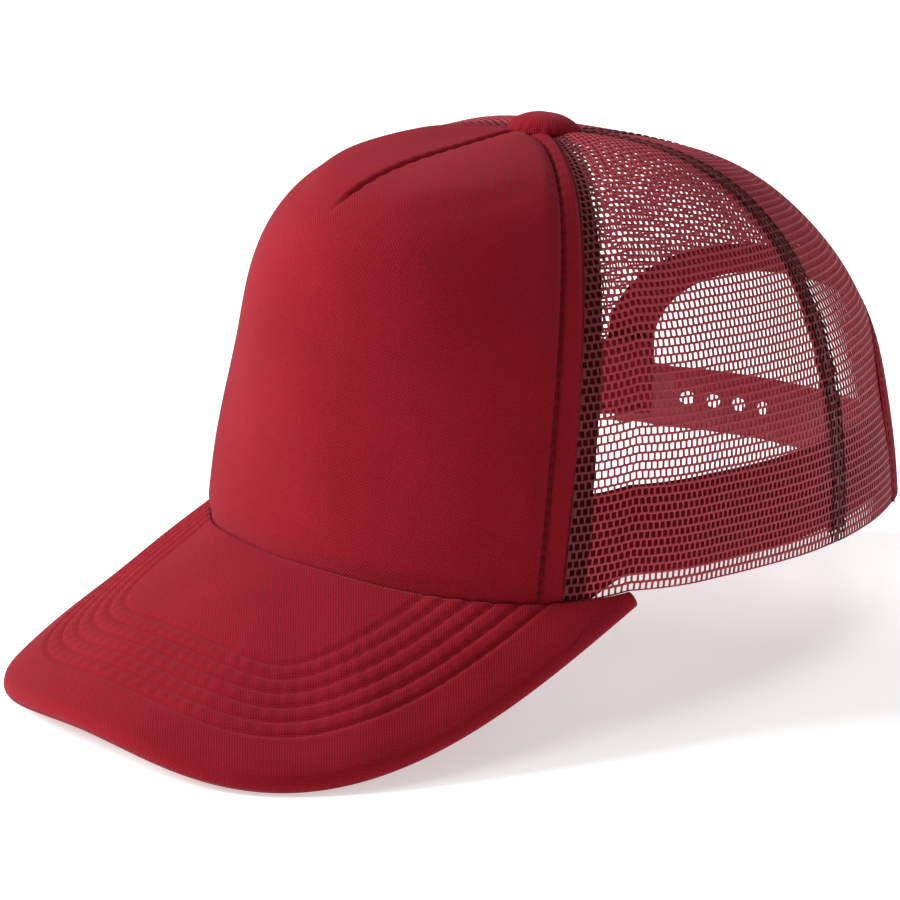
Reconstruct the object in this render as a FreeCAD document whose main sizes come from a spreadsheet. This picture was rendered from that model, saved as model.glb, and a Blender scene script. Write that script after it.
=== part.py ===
"""Trucker cap: foam front, mesh sides and back, arched brim, sweatband and a snap strap.

The cap is laid out in its own frame: +X is the wearer's left, -Y is the front, and Z = 0 is the
rim behind the head. An angle goes round the crown from the front (0) towards +X.  At the end the
whole cap is leaned back and moved, so that the middle of the head opening is the origin.
"""
import FreeCAD, Part
import Sketcher
import os
from math import asin, cos, degrees, hypot, pi, radians, sin, sqrt

Vector = FreeCAD.Vector
Placement = FreeCAD.Placement
Rotation = FreeCAD.Rotation

os.makedirs("parts", exist_ok=True)
doc = FreeCAD.newDocument("trucker_mesh_cap")

# ---------------------------------------------------------------- driving sizes, mm and degrees
SIZES = [
    ("crown_half_width", 79.5, "half the width of the head opening"),
    ("crown_front_depth", 80.0, "widest line to the front of the head opening"),
    ("crown_rear_depth", 125.8, "widest line to the back of the head opening"),
    ("crown_height", 89.2, "rear rim up to the crown under the button"),
    ("button_forward", 2.8, "button axis in front of the widest line"),
    ("front_lean", -2.3, "lean of the front at the rim, outwards"),
    ("front_rise", 83.0, "how far the front keeps that lean"),
    ("front_slope", 10.1, "fall of the front at the button"),
    ("front_reach", 105.4, "how far forward that fall goes"),
    ("side_lean", -2.1, "lean of the sides at the rim, outwards"),
    ("side_rise", 121.3, "how far the sides keep that lean"),
    ("side_slope", 2.5, "fall of the sides at the button"),
    ("side_reach", 5.7, "how far sideways that fall goes"),
    ("rear_lean", -13.5, "lean of the back at the rim, outwards"),
    ("rear_rise", 94.3, "how far the back keeps that lean"),
    ("rear_slope", 0.0, "fall of the back at the button"),
    ("rear_reach", 35.6, "how far back that fall goes"),
    ("front_seam_angle", 58.1, "seam between the foam front and a side panel"),
    ("side_seam_angle", 114.3, "seam between a side panel and a rear panel"),
    ("crown_hole_radius", 5.0, "hole that the panels leave under the button"),
    ("seam_gap", 0.2, "gap between neighbouring panels at a seam"),
    ("foam_thickness", 3.0, "foam front panel"),
    ("mesh_thickness", 1.0, "mesh panels, and the foam where a seam pinches it"),
    ("foam_ramp", 12.0, "distance over which the pinched foam swells"),
    ("layer_gap", 0.15, "gap between sewn layers"),
    ("tape_gap", 0.8, "gap between a panel and the tape under its seam"),
    ("tape_width", 9.0, "seam tape inside the crown"),
    ("tape_thickness", 0.6, "seam tape"),
    ("tape_end_radius", 10.0, "where the tapes stop short of the button"),
    ("sweatband_height", 26.7, "top of the sweatband above the rim"),
    ("sweatband_thickness", 2.0, "sweatband"),
    ("sweatband_lift", 3.0, "bottom of the sweatband above the mesh rim"),
    ("front_tuck", 4.0, "foam front and sweatband turned down behind the brim"),
    ("tuck_fade", 14.0, "angle over which the sweatband rises from that tuck"),
    ("brim_root_height", -22.3, "middle of the brim's root, from the rear rim"),
    ("brim_pitch", 31.9, "downward pitch of the brim"),
    ("brim_arch_radius", 131.0, "arch of the brim's top face"),
    ("brim_length", 71.3, "root to front edge, along the pitch"),
    ("brim_half_width", 83.4, "half width of the brim round its arch"),
    ("brim_fullness", 3.15, "squareness of the brim's outline, 2 is an ellipse"),
    ("brim_end_angle", 70.5, "where the brim's ends meet the rim"),
    ("rim_run_on", 11.0, "how strongly the rim keeps rising past the brim's ends"),
    ("brim_crown_gap", 0.4, "gap between the brim's root and the crown"),
    ("brim_foam", 2.2, "top cover of the brim"),
    ("brim_board_thickness", 1.8, "stiffening board"),
    ("brim_board_inset", 2.6, "board's edge inside the brim's edge"),
    ("brim_lining", 1.0, "bottom cover of the brim"),
    ("brim_layer_gap", 0.05, "gap between the board and its covers"),
    ("arch_half_width", 47.5, "half width of the opening over the strap"),
    ("arch_height", 47.5, "top of that opening above the rear rim"),
    ("arch_spring", 9.0, "where its sides start to curve"),
    ("arch_fullness", 2.5, "squareness of its top, 2 is an ellipse"),
    ("binding_width", 7.5, "tape bound round the opening"),
    ("binding_proud", 0.5, "binding standing out of the mesh, each side"),
    ("strap_height", 18.0, "both straps"),
    ("strap_centre", 4.0, "middle of the straps above the rear rim"),
    ("strap_thickness", 1.2, "both straps"),
    ("strap_gap", 0.4, "between the two snapped straps"),
    ("strap_depth", 1.8, "outer strap below the crown's outer face"),
    ("hinge_inset", 3.0, "strap hinge inside the edge of the opening"),
    ("hinge_overhang", 1.0, "strap beyond its hinge line"),
    ("tab_gap", 2.4, "between a strap and its sewn tab"),
    ("tab_length", 15.0, "sewn tab"),
    ("hole_radius", 2.0, "holes of the hole strap"),
    ("hole_pitch", 7.5, "hole to hole along the strap"),
    ("hole_count", 8, "holes in the hole strap"),
    ("first_hole", 3.2, "hinge line to the first hole"),
    ("strap_tip", 6.0, "last hole or peg to the strap's end"),
    ("snapped_from", 4, "holes left free before the first peg"),
    ("peg_count", 7, "pegs on the peg strap"),
    ("peg_clearance", 0.25, "peg to hole at the peg's foot"),
    ("peg_taper", 31.0, "taper of a peg, so it leaves its hole on a swing"),
    ("peg_height", 1.7, "peg above its strap"),
    ("tip_round", 5.0, "rounded corners of the strap ends"),
    ("button_radius", 10.0, "fabric covered button"),
    ("button_rise", 3.4, "height of the button"),
    ("button_wall", 1.1, "shell of the button"),
    ("button_seat", 1.7, "button above the panels"),
    ("rivet_radius", 1.8, "rivet through the crown"),
    ("rivet_clearance", 0.2, "rivet in its washer"),
    ("rivet_head_radius", 3.4, "head of the rivet, inside the shell"),
    ("rivet_head_height", 0.8, "head of the rivet"),
    ("washer_radius", 7.5, "washer under the crown"),
    ("washer_thickness", 1.2, "washer"),
    ("washer_drop", 5.2, "top of the washer below the crown"),
    ("lean_back", 8.2, "the worn cap leans back by this"),
    ("opening_centre_height", -11.0, "middle of the head opening from the rear rim"),
]
sheet = doc.addObject("Spreadsheet::Sheet", "sizes")
for row, (alias, value, words) in enumerate(SIZES, start=1):
    sheet.set(f"A{row}", words)
    sheet.set(f"B{row}", str(value))
    sheet.setAlias(f"B{row}", alias)
doc.recompute()


def size(alias):
    """A driving size read back from the sheet."""
    return float(sheet.get(alias))


# ---------------------------------------------------------------- the crown's outer surface
BUTTON_Y = -size("button_forward")


def rim_plan(angle):
    """Where the rim runs, seen from above: half an ellipse in front and half behind."""
    depth = size("crown_front_depth") if cos(angle) >= 0 else size("crown_rear_depth")
    return size("crown_half_width") * sin(angle), -depth * cos(angle)


def brim_drop(x):
    """How far the brim's arch has fallen at x."""
    radius = size("brim_arch_radius")
    return radius - sqrt(radius * radius - x * x)


def brim_forward(x, y):
    """Distance of a plan point in front of the brim's root line, along the pitch."""
    pitch = radians(size("brim_pitch"))
    return (brim_drop(x) * sin(pitch) - size("crown_front_depth") - y) / cos(pitch)


def brim_level(x, y):
    """Height of the brim's top face over a plan point."""
    pitch = radians(size("brim_pitch"))
    root = size("brim_root_height")
    return root - brim_forward(x, y) * sin(pitch) - brim_drop(x) * cos(pitch)


def smooth(share):
    """Eases from 0 to 1."""
    share = min(max(share, 0.0), 1.0)
    return share * share * (3 - 2 * share)


def from_front(angle):
    """The angle away from the front, whichever way round."""
    turn = abs(angle) % (2 * pi)
    return min(turn, 2 * pi - turn)


def rim_level(angle):
    """Height of the rim: on the brim's face in front, then rising to 0 behind."""
    end = radians(size("brim_end_angle"))
    turn = from_front(angle)
    if turn <= end:
        return brim_level(*rim_plan(angle))
    start = brim_level(*rim_plan(end))
    share = (turn - end) / (pi - end)
    lift = size("rim_run_on") * share * (1 - share) ** 2
    return start * (1 - smooth(share)) + lift


def round_crown(kind, angle):
    """A meridian's lean, rise, slope or reach: front or rear value, going over to the side's."""
    end = "front" if cos(angle) >= 0 else "rear"
    return size(f"{end}_{kind}") * cos(angle) ** 2 + size(f"side_{kind}") * sin(angle) ** 2


def meridian(angle):
    """Plan direction from the button axis, and the four poles (distance out, height)."""
    x, y = rim_plan(angle)
    out = hypot(x, y - BUTTON_Y)
    direction = Vector(x / out, (y - BUTTON_Y) / out, 0)
    lean = radians(round_crown("lean", angle))
    slope = radians(round_crown("slope", angle))
    rise = round_crown("rise", angle)
    reach = round_crown("reach", angle)
    rim = rim_level(angle)
    top = size("crown_height")
    poles = [(out, rim),
             (out + rise * sin(lean), rim + rise * cos(lean)),
             (reach * cos(slope), top - reach * sin(slope)),
             (0.0, top)]
    return direction, poles


def on_curve(poles, share):
    """Point and direction of a cubic curve at share, 0 at the rim and 1 under the button."""
    rest = 1 - share
    weights = (rest ** 3, 3 * rest ** 2 * share, 3 * rest * share ** 2, share ** 3)
    slopes = (rest ** 2, 2 * rest * share, share ** 2)
    point = [sum(w * p[i] for w, p in zip(weights, poles)) for i in (0, 1)]
    heading = [sum(w * (q[i] - p[i]) for w, p, q in zip(slopes, poles, poles[1:])) for i in (0, 1)]
    return point, heading


def crown_point(angle, share, depth=0.0):
    """A point of the crown, depth under its outer face."""
    direction, poles = meridian(angle)
    (out, height), (run, climb) = on_curve(poles, share)
    length = hypot(run, climb)
    out -= depth * climb / length
    height += depth * run / length
    return Vector(direction.x * out, BUTTON_Y + direction.y * out, height)


def find_share(reached, low=-0.1, high=0.999):
    """Where along a meridian reached(share) turns from False to True."""
    for _ in range(40):
        middle = (low + high) / 2
        if reached(middle):
            high = middle
        else:
            low = middle
    return (low + high) / 2


def share_at_height(angle, height):
    """Share at a height over the rim."""
    poles = meridian(angle)[1]
    goal = poles[0][1] + height
    return find_share(lambda share: on_curve(poles, share)[0][1] >= goal)


def share_at_radius(angle, radius):
    """Share at a distance from the button axis."""
    poles = meridian(angle)[1]
    return find_share(lambda share: on_curve(poles, share)[0][0] <= radius, low=0.5)


def width_per_radian(angle, share):
    """How wide the crown is per radian, so that a width can be turned into an angle."""
    step = 0.01
    return (crown_point(angle + step, share) - crown_point(angle - step, share)).Length / (2 * step)


# ---------------------------------------------------------------- sewn layers of the crown
CURVE_POINTS = 9
STATION_STEP = radians(8)


def spline(points):
    curve = Part.BSplineCurve()
    curve.interpolate(points)
    return curve.toShape()


def stations(start, end):
    """Evenly spaced angles, both ends among them."""
    count = max(3, round((end - start) / STATION_STEP))
    return [start + (end - start) * i / count for i in range(count + 1)]


def crown_layer(start, end, low, high, outer, inner):
    """A sewn layer between two angles and two shares, from depth outer to depth inner."""
    sections = []
    for angle in stations(start, end):
        first, last = low(angle), high(angle)
        shares = [first + (last - first) * i / (CURVE_POINTS - 1) for i in range(CURVE_POINTS)]
        face = [crown_point(angle, share, outer(angle, share)) for share in shares]
        back = [crown_point(angle, share, inner(angle, share)) for share in reversed(shares)]
        edges = [spline(face), Part.makeLine(face[-1], back[0]),
                 spline(back), Part.makeLine(back[-1], face[0])]
        sections.append(Part.Wire(edges))
    return Part.makeLoft(sections, True)


def at_depth(depth):
    return lambda angle, share: depth


def at_height(height):
    return lambda angle: share_at_height(angle, height)


def at_radius(radius):
    return lambda angle: share_at_radius(angle, radius)


def foam_depth(angle, share):
    """The foam is pinched to the mesh's thickness beside a seam and swells away from it."""
    seam = radians(size("front_seam_angle"))
    distance = (seam - abs(angle)) * width_per_radian(angle, share)
    swell = smooth((distance - size("tape_width") / 2 - 1) / size("foam_ramp"))
    pinched = size("mesh_thickness")
    return pinched + (size("foam_thickness") - pinched) * swell


def seam_edge(angle, side):
    """A panel's edge, half the seam gap to one side (-1 or +1) of a seam."""
    return angle + side * size("seam_gap") / 2 / width_per_radian(angle, 0.0)


FRONT_SEAM = radians(size("front_seam_angle"))
SIDE_SEAM = radians(size("side_seam_angle"))
TAPE_DEPTH = size("mesh_thickness") + size("tape_gap")
BAND_DEPTH = size("foam_thickness") + size("layer_gap") + size("binding_proud") / 2


def seam_tape(angle, low, high):
    """A tape of constant width under a seam."""
    sections = []
    count = 12
    for i in range(count + 1):
        share = low + (high - low) * i / count
        half = size("tape_width") / 2 / width_per_radian(angle, share)
        one, other = (crown_point(angle + turn, share, TAPE_DEPTH) for turn in (-half, half))
        inwards = crown_point(angle, share, TAPE_DEPTH + size("tape_thickness"))
        inwards -= crown_point(angle, share, TAPE_DEPTH)
        corners = [one, other, other + inwards, one + inwards]
        sections.append(Part.makePolygon(corners + corners[:1]))
    return Part.makeLoft(sections, True)


def arch_outline(half_width, height):
    """The opening over the strap seen from behind: straight sides and a full round top."""
    spring = size("arch_spring")
    power = size("arch_fullness")
    points = []
    for i in range(25):
        turn = pi * i / 24
        c, s = cos(turn), sin(turn)
        reach = (abs(c) ** power + abs(s) ** power) ** (-1 / power)
        points.append(Vector(half_width * c * reach, 0, spring + (height - spring) * s * reach))
    return points


ARCH_FOOT = -40.0
ARCH_FROM = Vector(0, 20, 0)
ARCH_THROUGH = Vector(0, 180, 0)


def arch_prism(margin, inner_margin=None):
    """The opening grown by margin, run through the back of the cap. With inner_margin it is
    only the horseshoe between the two."""
    def legs(extra):
        outline = arch_outline(size("arch_half_width") + extra, size("arch_height") + extra)
        right, left = outline[0], outline[-1]
        return outline, Vector(right.x, 0, ARCH_FOOT), Vector(left.x, 0, ARCH_FOOT)

    outline, right_foot, left_foot = legs(margin)
    edges = [Part.makeLine(right_foot, outline[0]), spline(outline),
             Part.makeLine(outline[-1], left_foot)]
    if inner_margin is None:
        edges.append(Part.makeLine(left_foot, right_foot))
    else:
        inside, inside_right, inside_left = legs(inner_margin)
        edges += [Part.makeLine(left_foot, inside_left), Part.makeLine(inside_left, inside[-1]),
                  spline(inside[::-1]), Part.makeLine(inside[0], inside_right),
                  Part.makeLine(inside_right, right_foot)]
    face = Part.Face(Part.Wire(edges))
    face.translate(ARCH_FROM)
    return face.extrude(ARCH_THROUGH)


# ---------------------------------------------------------------- where the finished cap stands
lean = radians(size("lean_back"))
opening = Vector(0, (size("crown_rear_depth") - size("crown_front_depth")) / 2,
                 size("opening_centre_height"))
lean_back = Rotation(Vector(1, 0, 0), -size("lean_back"))
STAND = Placement(-lean_back.multVec(opening), lean_back)

nodes = []


def keep(thing, label, local=None):
    """Names a sub-part and stands it in the finished cap."""
    thing.Label = label
    thing.Placement = STAND.multiply(local) if local else STAND
    nodes.append(thing)
    return thing


def sewn(label, shape):
    """A free-form fabric sub-part."""
    thing = doc.addObject("Part::Feature", label)
    thing.Shape = shape
    return keep(thing, label)


# ---------------------------------------------------------------- panels
def front_panel():
    edge = seam_edge(FRONT_SEAM, -1)
    sewn("front_panel", crown_layer(-edge, edge, at_height(-size("front_tuck")),
                                    at_radius(size("crown_hole_radius")), at_depth(0.0), foam_depth))


def mesh_panels():
    skin = size("mesh_thickness")
    hole = at_radius(size("crown_hole_radius"))
    opening_cut = arch_prism(size("binding_width") + size("layer_gap"))
    for name, side in (("left", 1), ("right", -1)):
        ends = sorted((side * seam_edge(FRONT_SEAM, 1), side * seam_edge(SIDE_SEAM, -1)))
        sewn(f"side_mesh_{name}",
             crown_layer(*ends, at_height(0.0), hole, at_depth(0.0), at_depth(skin)))
        ends = sorted((side * seam_edge(SIDE_SEAM, 1), side * seam_edge(pi, -1)))
        rear = crown_layer(*ends, at_height(0.0), hole, at_depth(0.0), at_depth(skin))
        sewn(f"rear_mesh_{name}", rear.cut(opening_cut))


def arch_binding():
    proud = size("binding_proud")
    across = size("arch_half_width") + size("binding_width")
    half = asin(across / size("crown_half_width")) + radians(8)
    band = crown_layer(pi - half, pi + half, at_height(0.0),
                       at_height(size("arch_height") + size("binding_width") + 12),
                       at_depth(-proud), at_depth(size("mesh_thickness") + proud))
    sewn("arch_binding", band.common(arch_prism(size("binding_width"), 0.0)))


def sweatband():
    end = pi - asin((size("arch_half_width") + 0.5) / size("crown_half_width"))
    fade = radians(size("tuck_fade"))

    def low(angle):
        risen = smooth((abs(angle) - FRONT_SEAM) / fade)
        bottom = -size("front_tuck") + (size("sweatband_lift") + size("front_tuck")) * risen
        return share_at_height(angle, bottom)

    band = crown_layer(-end, end, low, at_height(size("sweatband_height")),
                       at_depth(BAND_DEPTH), at_depth(BAND_DEPTH + size("sweatband_thickness")))
    sewn("sweatband", band)


def seam_tapes():
    for name, side in (("left", 1), ("right", -1)):
        for seam, angle in (("front", side * FRONT_SEAM), ("side", side * SIDE_SEAM)):
            low = share_at_height(angle, size("sweatband_lift"))
            high = share_at_radius(angle, size("tape_end_radius"))
            sewn(f"{seam}_seam_tape_{name}", seam_tape(angle, low, high))
    above_arch = size("arch_height") + size("binding_width") + size("layer_gap") + 1
    sewn("rear_seam_tape", seam_tape(pi, share_at_height(pi, above_arch),
                                     share_at_radius(pi, size("tape_end_radius"))))


# ---------------------------------------------------------------- brim
BRIM = Placement(Vector(0, -size("crown_front_depth"), size("brim_root_height")),
                 Rotation(Vector(1, 0, 0), size("brim_pitch")))
BRIM_BACK = 60.0
BRIM_REACH = 220.0


def arch_shell(name, top, bottom):
    """A slice of the brim's arch, between two named depths under its top face."""
    pair = []
    for part, depth in (("over", top), ("under", bottom)):
        tube = doc.addObject("Part::Cylinder", f"{name}_{part}")
        tube.setExpression("Radius", f"sizes.brim_arch_radius - ({depth})")
        tube.Height = BRIM_REACH
        along = Placement(Vector(0, -BRIM_REACH + BRIM_BACK, -size("brim_arch_radius")),
                          Rotation(Vector(1, 0, 0), -90))
        tube.Placement = BRIM.multiply(along)
        pair.append(tube)
    shell = doc.addObject("Part::Cut", f"{name}_shell")
    shell.Base, shell.Tool = pair
    return shell


def brim_prism(name, inset):
    """The brim's outline, drawn round its arch and run through it."""
    radius = size("brim_arch_radius")
    half_width = size("brim_half_width") - inset
    root = brim_forward(*rim_plan(radians(size("brim_end_angle"))))
    length = size("brim_length") - inset - root
    power = size("brim_fullness")
    points = []
    for i in range(33):
        turn = pi * i / 32
        c, s = cos(turn), sin(turn)
        reach = (abs(c) ** power + abs(s) ** power) ** (-1 / power)
        points.append(Vector(radius * sin(half_width * c * reach / radius),
                             -(root + length * s * reach), -BRIM_BACK))
    outline = doc.addObject("Part::Feature", f"{name}_outline")
    outline.Shape = Part.Wire([spline(points), Part.makeLine(points[-1], points[0])])
    outline.Placement = BRIM
    prism = doc.addObject("Part::Extrusion", f"{name}_prism")
    prism.Base = outline
    prism.Solid = True
    prism.DirMode = "Custom"
    prism.Dir = BRIM.Rotation.multVec(Vector(0, 0, 1))
    prism.LengthFwd = 2 * BRIM_BACK
    return prism


def crown_plug():
    """The room that the crown's front takes out of the brim."""
    oval = doc.addObject("Part::Ellipse", "crown_plug_oval")
    wide = size("crown_half_width") >= size("crown_front_depth")
    across, along = "sizes.crown_half_width", "sizes.crown_front_depth"
    major, minor = (across, along) if wide else (along, across)
    oval.setExpression("MajorRadius", f"{major} + sizes.brim_crown_gap")
    oval.setExpression("MinorRadius", f"{minor} + sizes.brim_crown_gap")
    oval.Placement = Placement(Vector(0, 0, -BRIM_REACH / 2),
                               Rotation(Vector(0, 0, 1), 0 if wide else 90))
    plug = doc.addObject("Part::Extrusion", "crown_plug")
    plug.Base = oval
    plug.Solid = True
    plug.DirMode = "Custom"
    plug.Dir = Vector(0, 0, 1)
    plug.LengthFwd = BRIM_REACH
    return plug


def common(name, first, second):
    both = doc.addObject("Part::Common", name)
    both.Base, both.Tool = first, second
    return both


def cut(name, base, tool):
    rest = doc.addObject("Part::Cut", name)
    rest.Base, rest.Tool = base, tool
    return rest


def brim():
    """Foam cover with a pocket, the board in the pocket, and the lining under both."""
    gap = "sizes.brim_layer_gap"
    foam = "sizes.brim_foam"
    board_top = f"{foam} + {gap}"
    board_bottom = f"{board_top} + sizes.brim_board_thickness"
    cover_bottom = f"{board_bottom} + {gap}"
    inset = size("brim_board_inset")
    outline = brim_prism("brim", 0.0)
    board_outline = brim_prism("board", inset)
    pocket_outline = brim_prism("pocket", inset - size("brim_layer_gap"))
    plug = crown_plug()

    whole = common("cover_block", arch_shell("cover", "0", cover_bottom), outline)
    pocket = common("pocket_block", arch_shell("pocket", foam, f"{cover_bottom} + 1"), pocket_outline)
    keep(cut("brim_top_cover", cut("cover_pocketed", whole, pocket), plug), "brim_top_cover")

    board = common("board_block", arch_shell("board", board_top, board_bottom), board_outline)
    keep(cut("brim_board", board, plug), "brim_board")

    lining_top = f"{cover_bottom} + {gap}"
    lining = common("lining_block",
                    arch_shell("lining", lining_top, f"{lining_top} + sizes.brim_lining"), outline)
    keep(cut("brim_bottom_cover", lining, plug), "brim_bottom_cover")


# ---------------------------------------------------------------- snap straps
STRAP_DEPTH = size("strap_depth") + size("strap_thickness") / 2


def strap_arc():
    """Centre and radius of the hole strap's middle line: through both hinges and the back."""
    half_width, rear = size("crown_half_width"), size("crown_rear_depth")
    x = size("arch_half_width") - size("hinge_inset")
    y = rear * sqrt(1 - (x / half_width) ** 2)
    normal = Vector(x / half_width ** 2, y / rear ** 2, 0).normalize()
    hinge = Vector(x, y, 0) - normal * STRAP_DEPTH
    bulge = rear - STRAP_DEPTH - hinge.y
    radius = (hinge.x ** 2 + bulge ** 2) / (2 * bulge)
    return hinge, Vector(0, hinge.y + bulge - radius, 0), radius


HINGE, ARC_CENTRE, ARC_RADIUS = strap_arc()
HINGE_ANGLE = degrees(asin(HINGE.x / ARC_RADIUS))
PITCH_ANGLE = degrees(size("hole_pitch") / ARC_RADIUS)
STRAP_FOOT = size("strap_centre") - size("strap_height") / 2


def along_arc(length):
    """A length along the straps as an angle in degrees."""
    return degrees(length / ARC_RADIUS)


def origin_plane(body, role):
    return next(part for part in body.Origin.OriginFeatures if part.Role == role)


def round_tip(body, label, pad, tip_direction):
    """Rounds the two corners at the strap's free end."""
    names = []
    for index, edge in enumerate(pad.Shape.Edges, start=1):
        middle = edge.BoundBox.Center
        radial = Vector(middle.x, middle.y, 0)
        short = abs(edge.Length - size("strap_thickness")) < 0.01
        if short and radial.getAngle(tip_direction) < 0.01:
            names.append(f"Edge{index}")
    fillet = body.newObject("PartDesign::Fillet", f"{label}_tip")
    fillet.Base = (pad, names)
    fillet.setExpression("Radius", "min(sizes.tip_round; sizes.strap_height * 0.45)")
    doc.recompute()


def strap_body(label, middle_radius, hinge_side, hinge_angle, tip_angle):
    """A curved strap round the local Z axis. Its first hole or peg is at local +Y, its hinge is
    hinge_angle to one side of that and its tip is tip_angle to the other side."""
    body = doc.addObject("PartDesign::Body", label)
    profile = body.newObject("Sketcher::SketchObject", f"{label}_profile")
    profile.AttachmentSupport = (origin_plane(body, "XY_Plane"), [""])
    profile.MapMode = "FlatFace"
    ends = sorted((90 + hinge_side * hinge_angle, 90 - hinge_side * tip_angle))
    start, end = (radians(angle) for angle in ends)
    radii = (middle_radius - size("strap_thickness") / 2, middle_radius + size("strap_thickness") / 2)
    for radius in radii:
        ring = Part.Circle(Vector(0, 0, 0), Vector(0, 0, 1), radius)
        profile.addGeometry(Part.ArcOfCircle(ring, start, end), False)
    for angle in (start, end):
        ray = Vector(cos(angle), sin(angle), 0)
        profile.addGeometry(Part.LineSegment(ray * radii[0], ray * radii[1]), False)
    rule = Sketcher.Constraint
    inner, outer, first, last = range(4)
    for arc in (inner, outer):
        profile.addConstraint(rule("Coincident", arc, 3, -1, 1))
    for line, arc_end in ((first, 1), (last, 2)):
        profile.addConstraint(rule("Coincident", inner, arc_end, line, 1))
        profile.addConstraint(rule("Coincident", outer, arc_end, line, 2))
    profile.addConstraint(rule("Radius", inner, radii[0]))
    thickness = profile.addConstraint(rule("Distance", first, size("strap_thickness")))
    profile.setExpression(f"Constraints[{thickness}]", "sizes.strap_thickness")
    profile.addConstraint(rule("Angle", first, start))
    profile.addConstraint(rule("Angle", last, end))
    pad = body.newObject("PartDesign::Pad", f"{label}_pad")
    pad.Profile = profile
    pad.setExpression("Length", "sizes.strap_height")
    doc.recompute()
    tip = ends[0] if hinge_side > 0 else ends[1]
    round_tip(body, label, pad, Vector(cos(radians(tip)), sin(radians(tip)), 0))
    return body


def row_sketch(body, label, radius_of, offset):
    """One circle at mid height on the local +Y side, offset out from the axis."""
    sketch = body.newObject("Sketcher::SketchObject", f"{label}_circle")
    sketch.AttachmentSupport = (origin_plane(body, "XZ_Plane"), [""])
    sketch.MapMode = "FlatFace"
    sketch.AttachmentOffset = Placement(Vector(0, 0, -offset), Rotation())
    centre = Vector(0, size("strap_height") / 2, 0)
    sketch.addGeometry(Part.Circle(centre, Vector(0, 0, 1), 1.0), False)
    radius = sketch.addConstraint(Sketcher.Constraint("Radius", 0, 1.0))
    level = sketch.addConstraint(Sketcher.Constraint("DistanceY", -1, 1, 0, 3, centre.y))
    sketch.addConstraint(Sketcher.Constraint("PointOnObject", 0, 3, -2))
    sketch.setExpression(f"Constraints[{radius}]", radius_of)
    sketch.setExpression(f"Constraints[{level}]", "sizes.strap_height / 2")
    return sketch


def row_pattern(body, label, feature, count):
    """Repeats a feature along the strap, one pitch further from the wearer's right each time."""
    pattern = body.newObject("PartDesign::PolarPattern", f"{label}_row")
    pattern.Originals = [feature]
    pattern.Axis = (origin_plane(body, "Z_Axis"), [""])
    pattern.Reversed = True
    pattern.Angle = PITCH_ANGLE * (size(count) - 1)
    pattern.setExpression("Occurrences", f"sizes.{count}")
    body.Tip = pattern
    doc.recompute()
    return pattern


def hole_strap():
    """Sewn at the wearer's right, outside the peg strap, with a row of holes."""
    to_tip = along_arc(size("strap_tip")) + PITCH_ANGLE * (size("hole_count") - 1)
    to_hinge = along_arc(size("first_hole") + size("hinge_overhang"))
    body = strap_body("hole_strap", ARC_RADIUS, 1, to_hinge, to_tip)
    before = body.Shape.Volume
    circle = row_sketch(body, "hole_strap", "sizes.hole_radius", 0.0)
    hole = body.newObject("PartDesign::Pocket", "hole_strap_hole")
    hole.Profile = circle
    hole.setExpression("Length", "sizes.crown_rear_depth")
    hole.Reversed = True
    doc.recompute()
    if body.Shape.Volume >= before - 1:
        hole.Reversed = False
        doc.recompute()
    row_pattern(body, "hole_strap", hole, "hole_count")
    turn = HINGE_ANGLE - along_arc(size("first_hole"))
    keep(body, "hole_strap", Placement(ARC_CENTRE + Vector(0, 0, STRAP_FOOT),
                                       Rotation(Vector(0, 0, 1), turn)))


def peg_strap():
    """Sewn at the wearer's left, inside the hole strap, with pegs that stand in its holes."""
    radius = ARC_RADIUS - size("strap_thickness") - size("strap_gap")
    last_peg = (HINGE_ANGLE - along_arc(size("first_hole"))
                - PITCH_ANGLE * size("snapped_from"))
    to_tip = along_arc(size("strap_tip"))
    to_hinge = last_peg + HINGE_ANGLE + along_arc(size("hinge_overhang"))
    body = strap_body("peg_strap", radius, -1, to_hinge, to_tip)
    face = radius + size("strap_thickness") / 2
    sunk = size("strap_thickness") / 2
    circle = row_sketch(body, "peg_strap", "sizes.hole_radius - sizes.peg_clearance", face - sunk)
    peg = body.newObject("PartDesign::Pad", "peg_strap_peg")
    peg.Profile = circle
    peg.setExpression("Length", "sizes.peg_height + sizes.strap_thickness / 2")
    peg.Reversed = True
    peg.setExpression("TaperAngle", "-sizes.peg_taper")
    doc.recompute()
    row_pattern(body, "peg_strap", peg, "peg_count")
    keep(body, "peg_strap", Placement(ARC_CENTRE + Vector(0, 0, STRAP_FOOT),
                                      Rotation(Vector(0, 0, 1), last_peg)))


def strap_tabs():
    """The sewn ends of the straps, between the mesh and the sweatband."""
    edge = HINGE.x + size("hinge_overhang") + size("tab_gap")
    start = pi - asin(edge / size("crown_half_width"))
    end = start - size("tab_length") / width_per_radian(start, 0.0)
    margin = 1.0
    for name, side in (("hole_strap_tab", -1), ("peg_strap_tab", 1)):
        tab = crown_layer(*sorted((side * start, side * end)), at_height(margin),
                          at_height(size("strap_height") - margin), at_depth(size("strap_depth")),
                          at_depth(size("strap_depth") + size("strap_thickness")))
        sewn(name, tab)


# ---------------------------------------------------------------- button
def disc(name, radius, height, level):
    """A flat disc on the button axis, its foot at level."""
    thing = doc.addObject("Part::Cylinder", name)
    thing.setExpression("Radius", radius)
    thing.setExpression("Height", height)
    thing.Placement = Placement(Vector(0, BUTTON_Y, level), Rotation())
    return thing


def dome(name, radius, rise, level):
    """A domed cap of a ball on the button axis, its flat foot at level."""
    ball = doc.addObject("Part::Sphere", name)
    ball_radius = (radius ** 2 + rise ** 2) / (2 * rise)
    ball.Radius = ball_radius
    ball.Angle1 = degrees(asin((ball_radius - rise) / ball_radius))
    ball.Placement = Placement(Vector(0, BUTTON_Y, level - ball_radius + rise), Rotation())
    return ball


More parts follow.
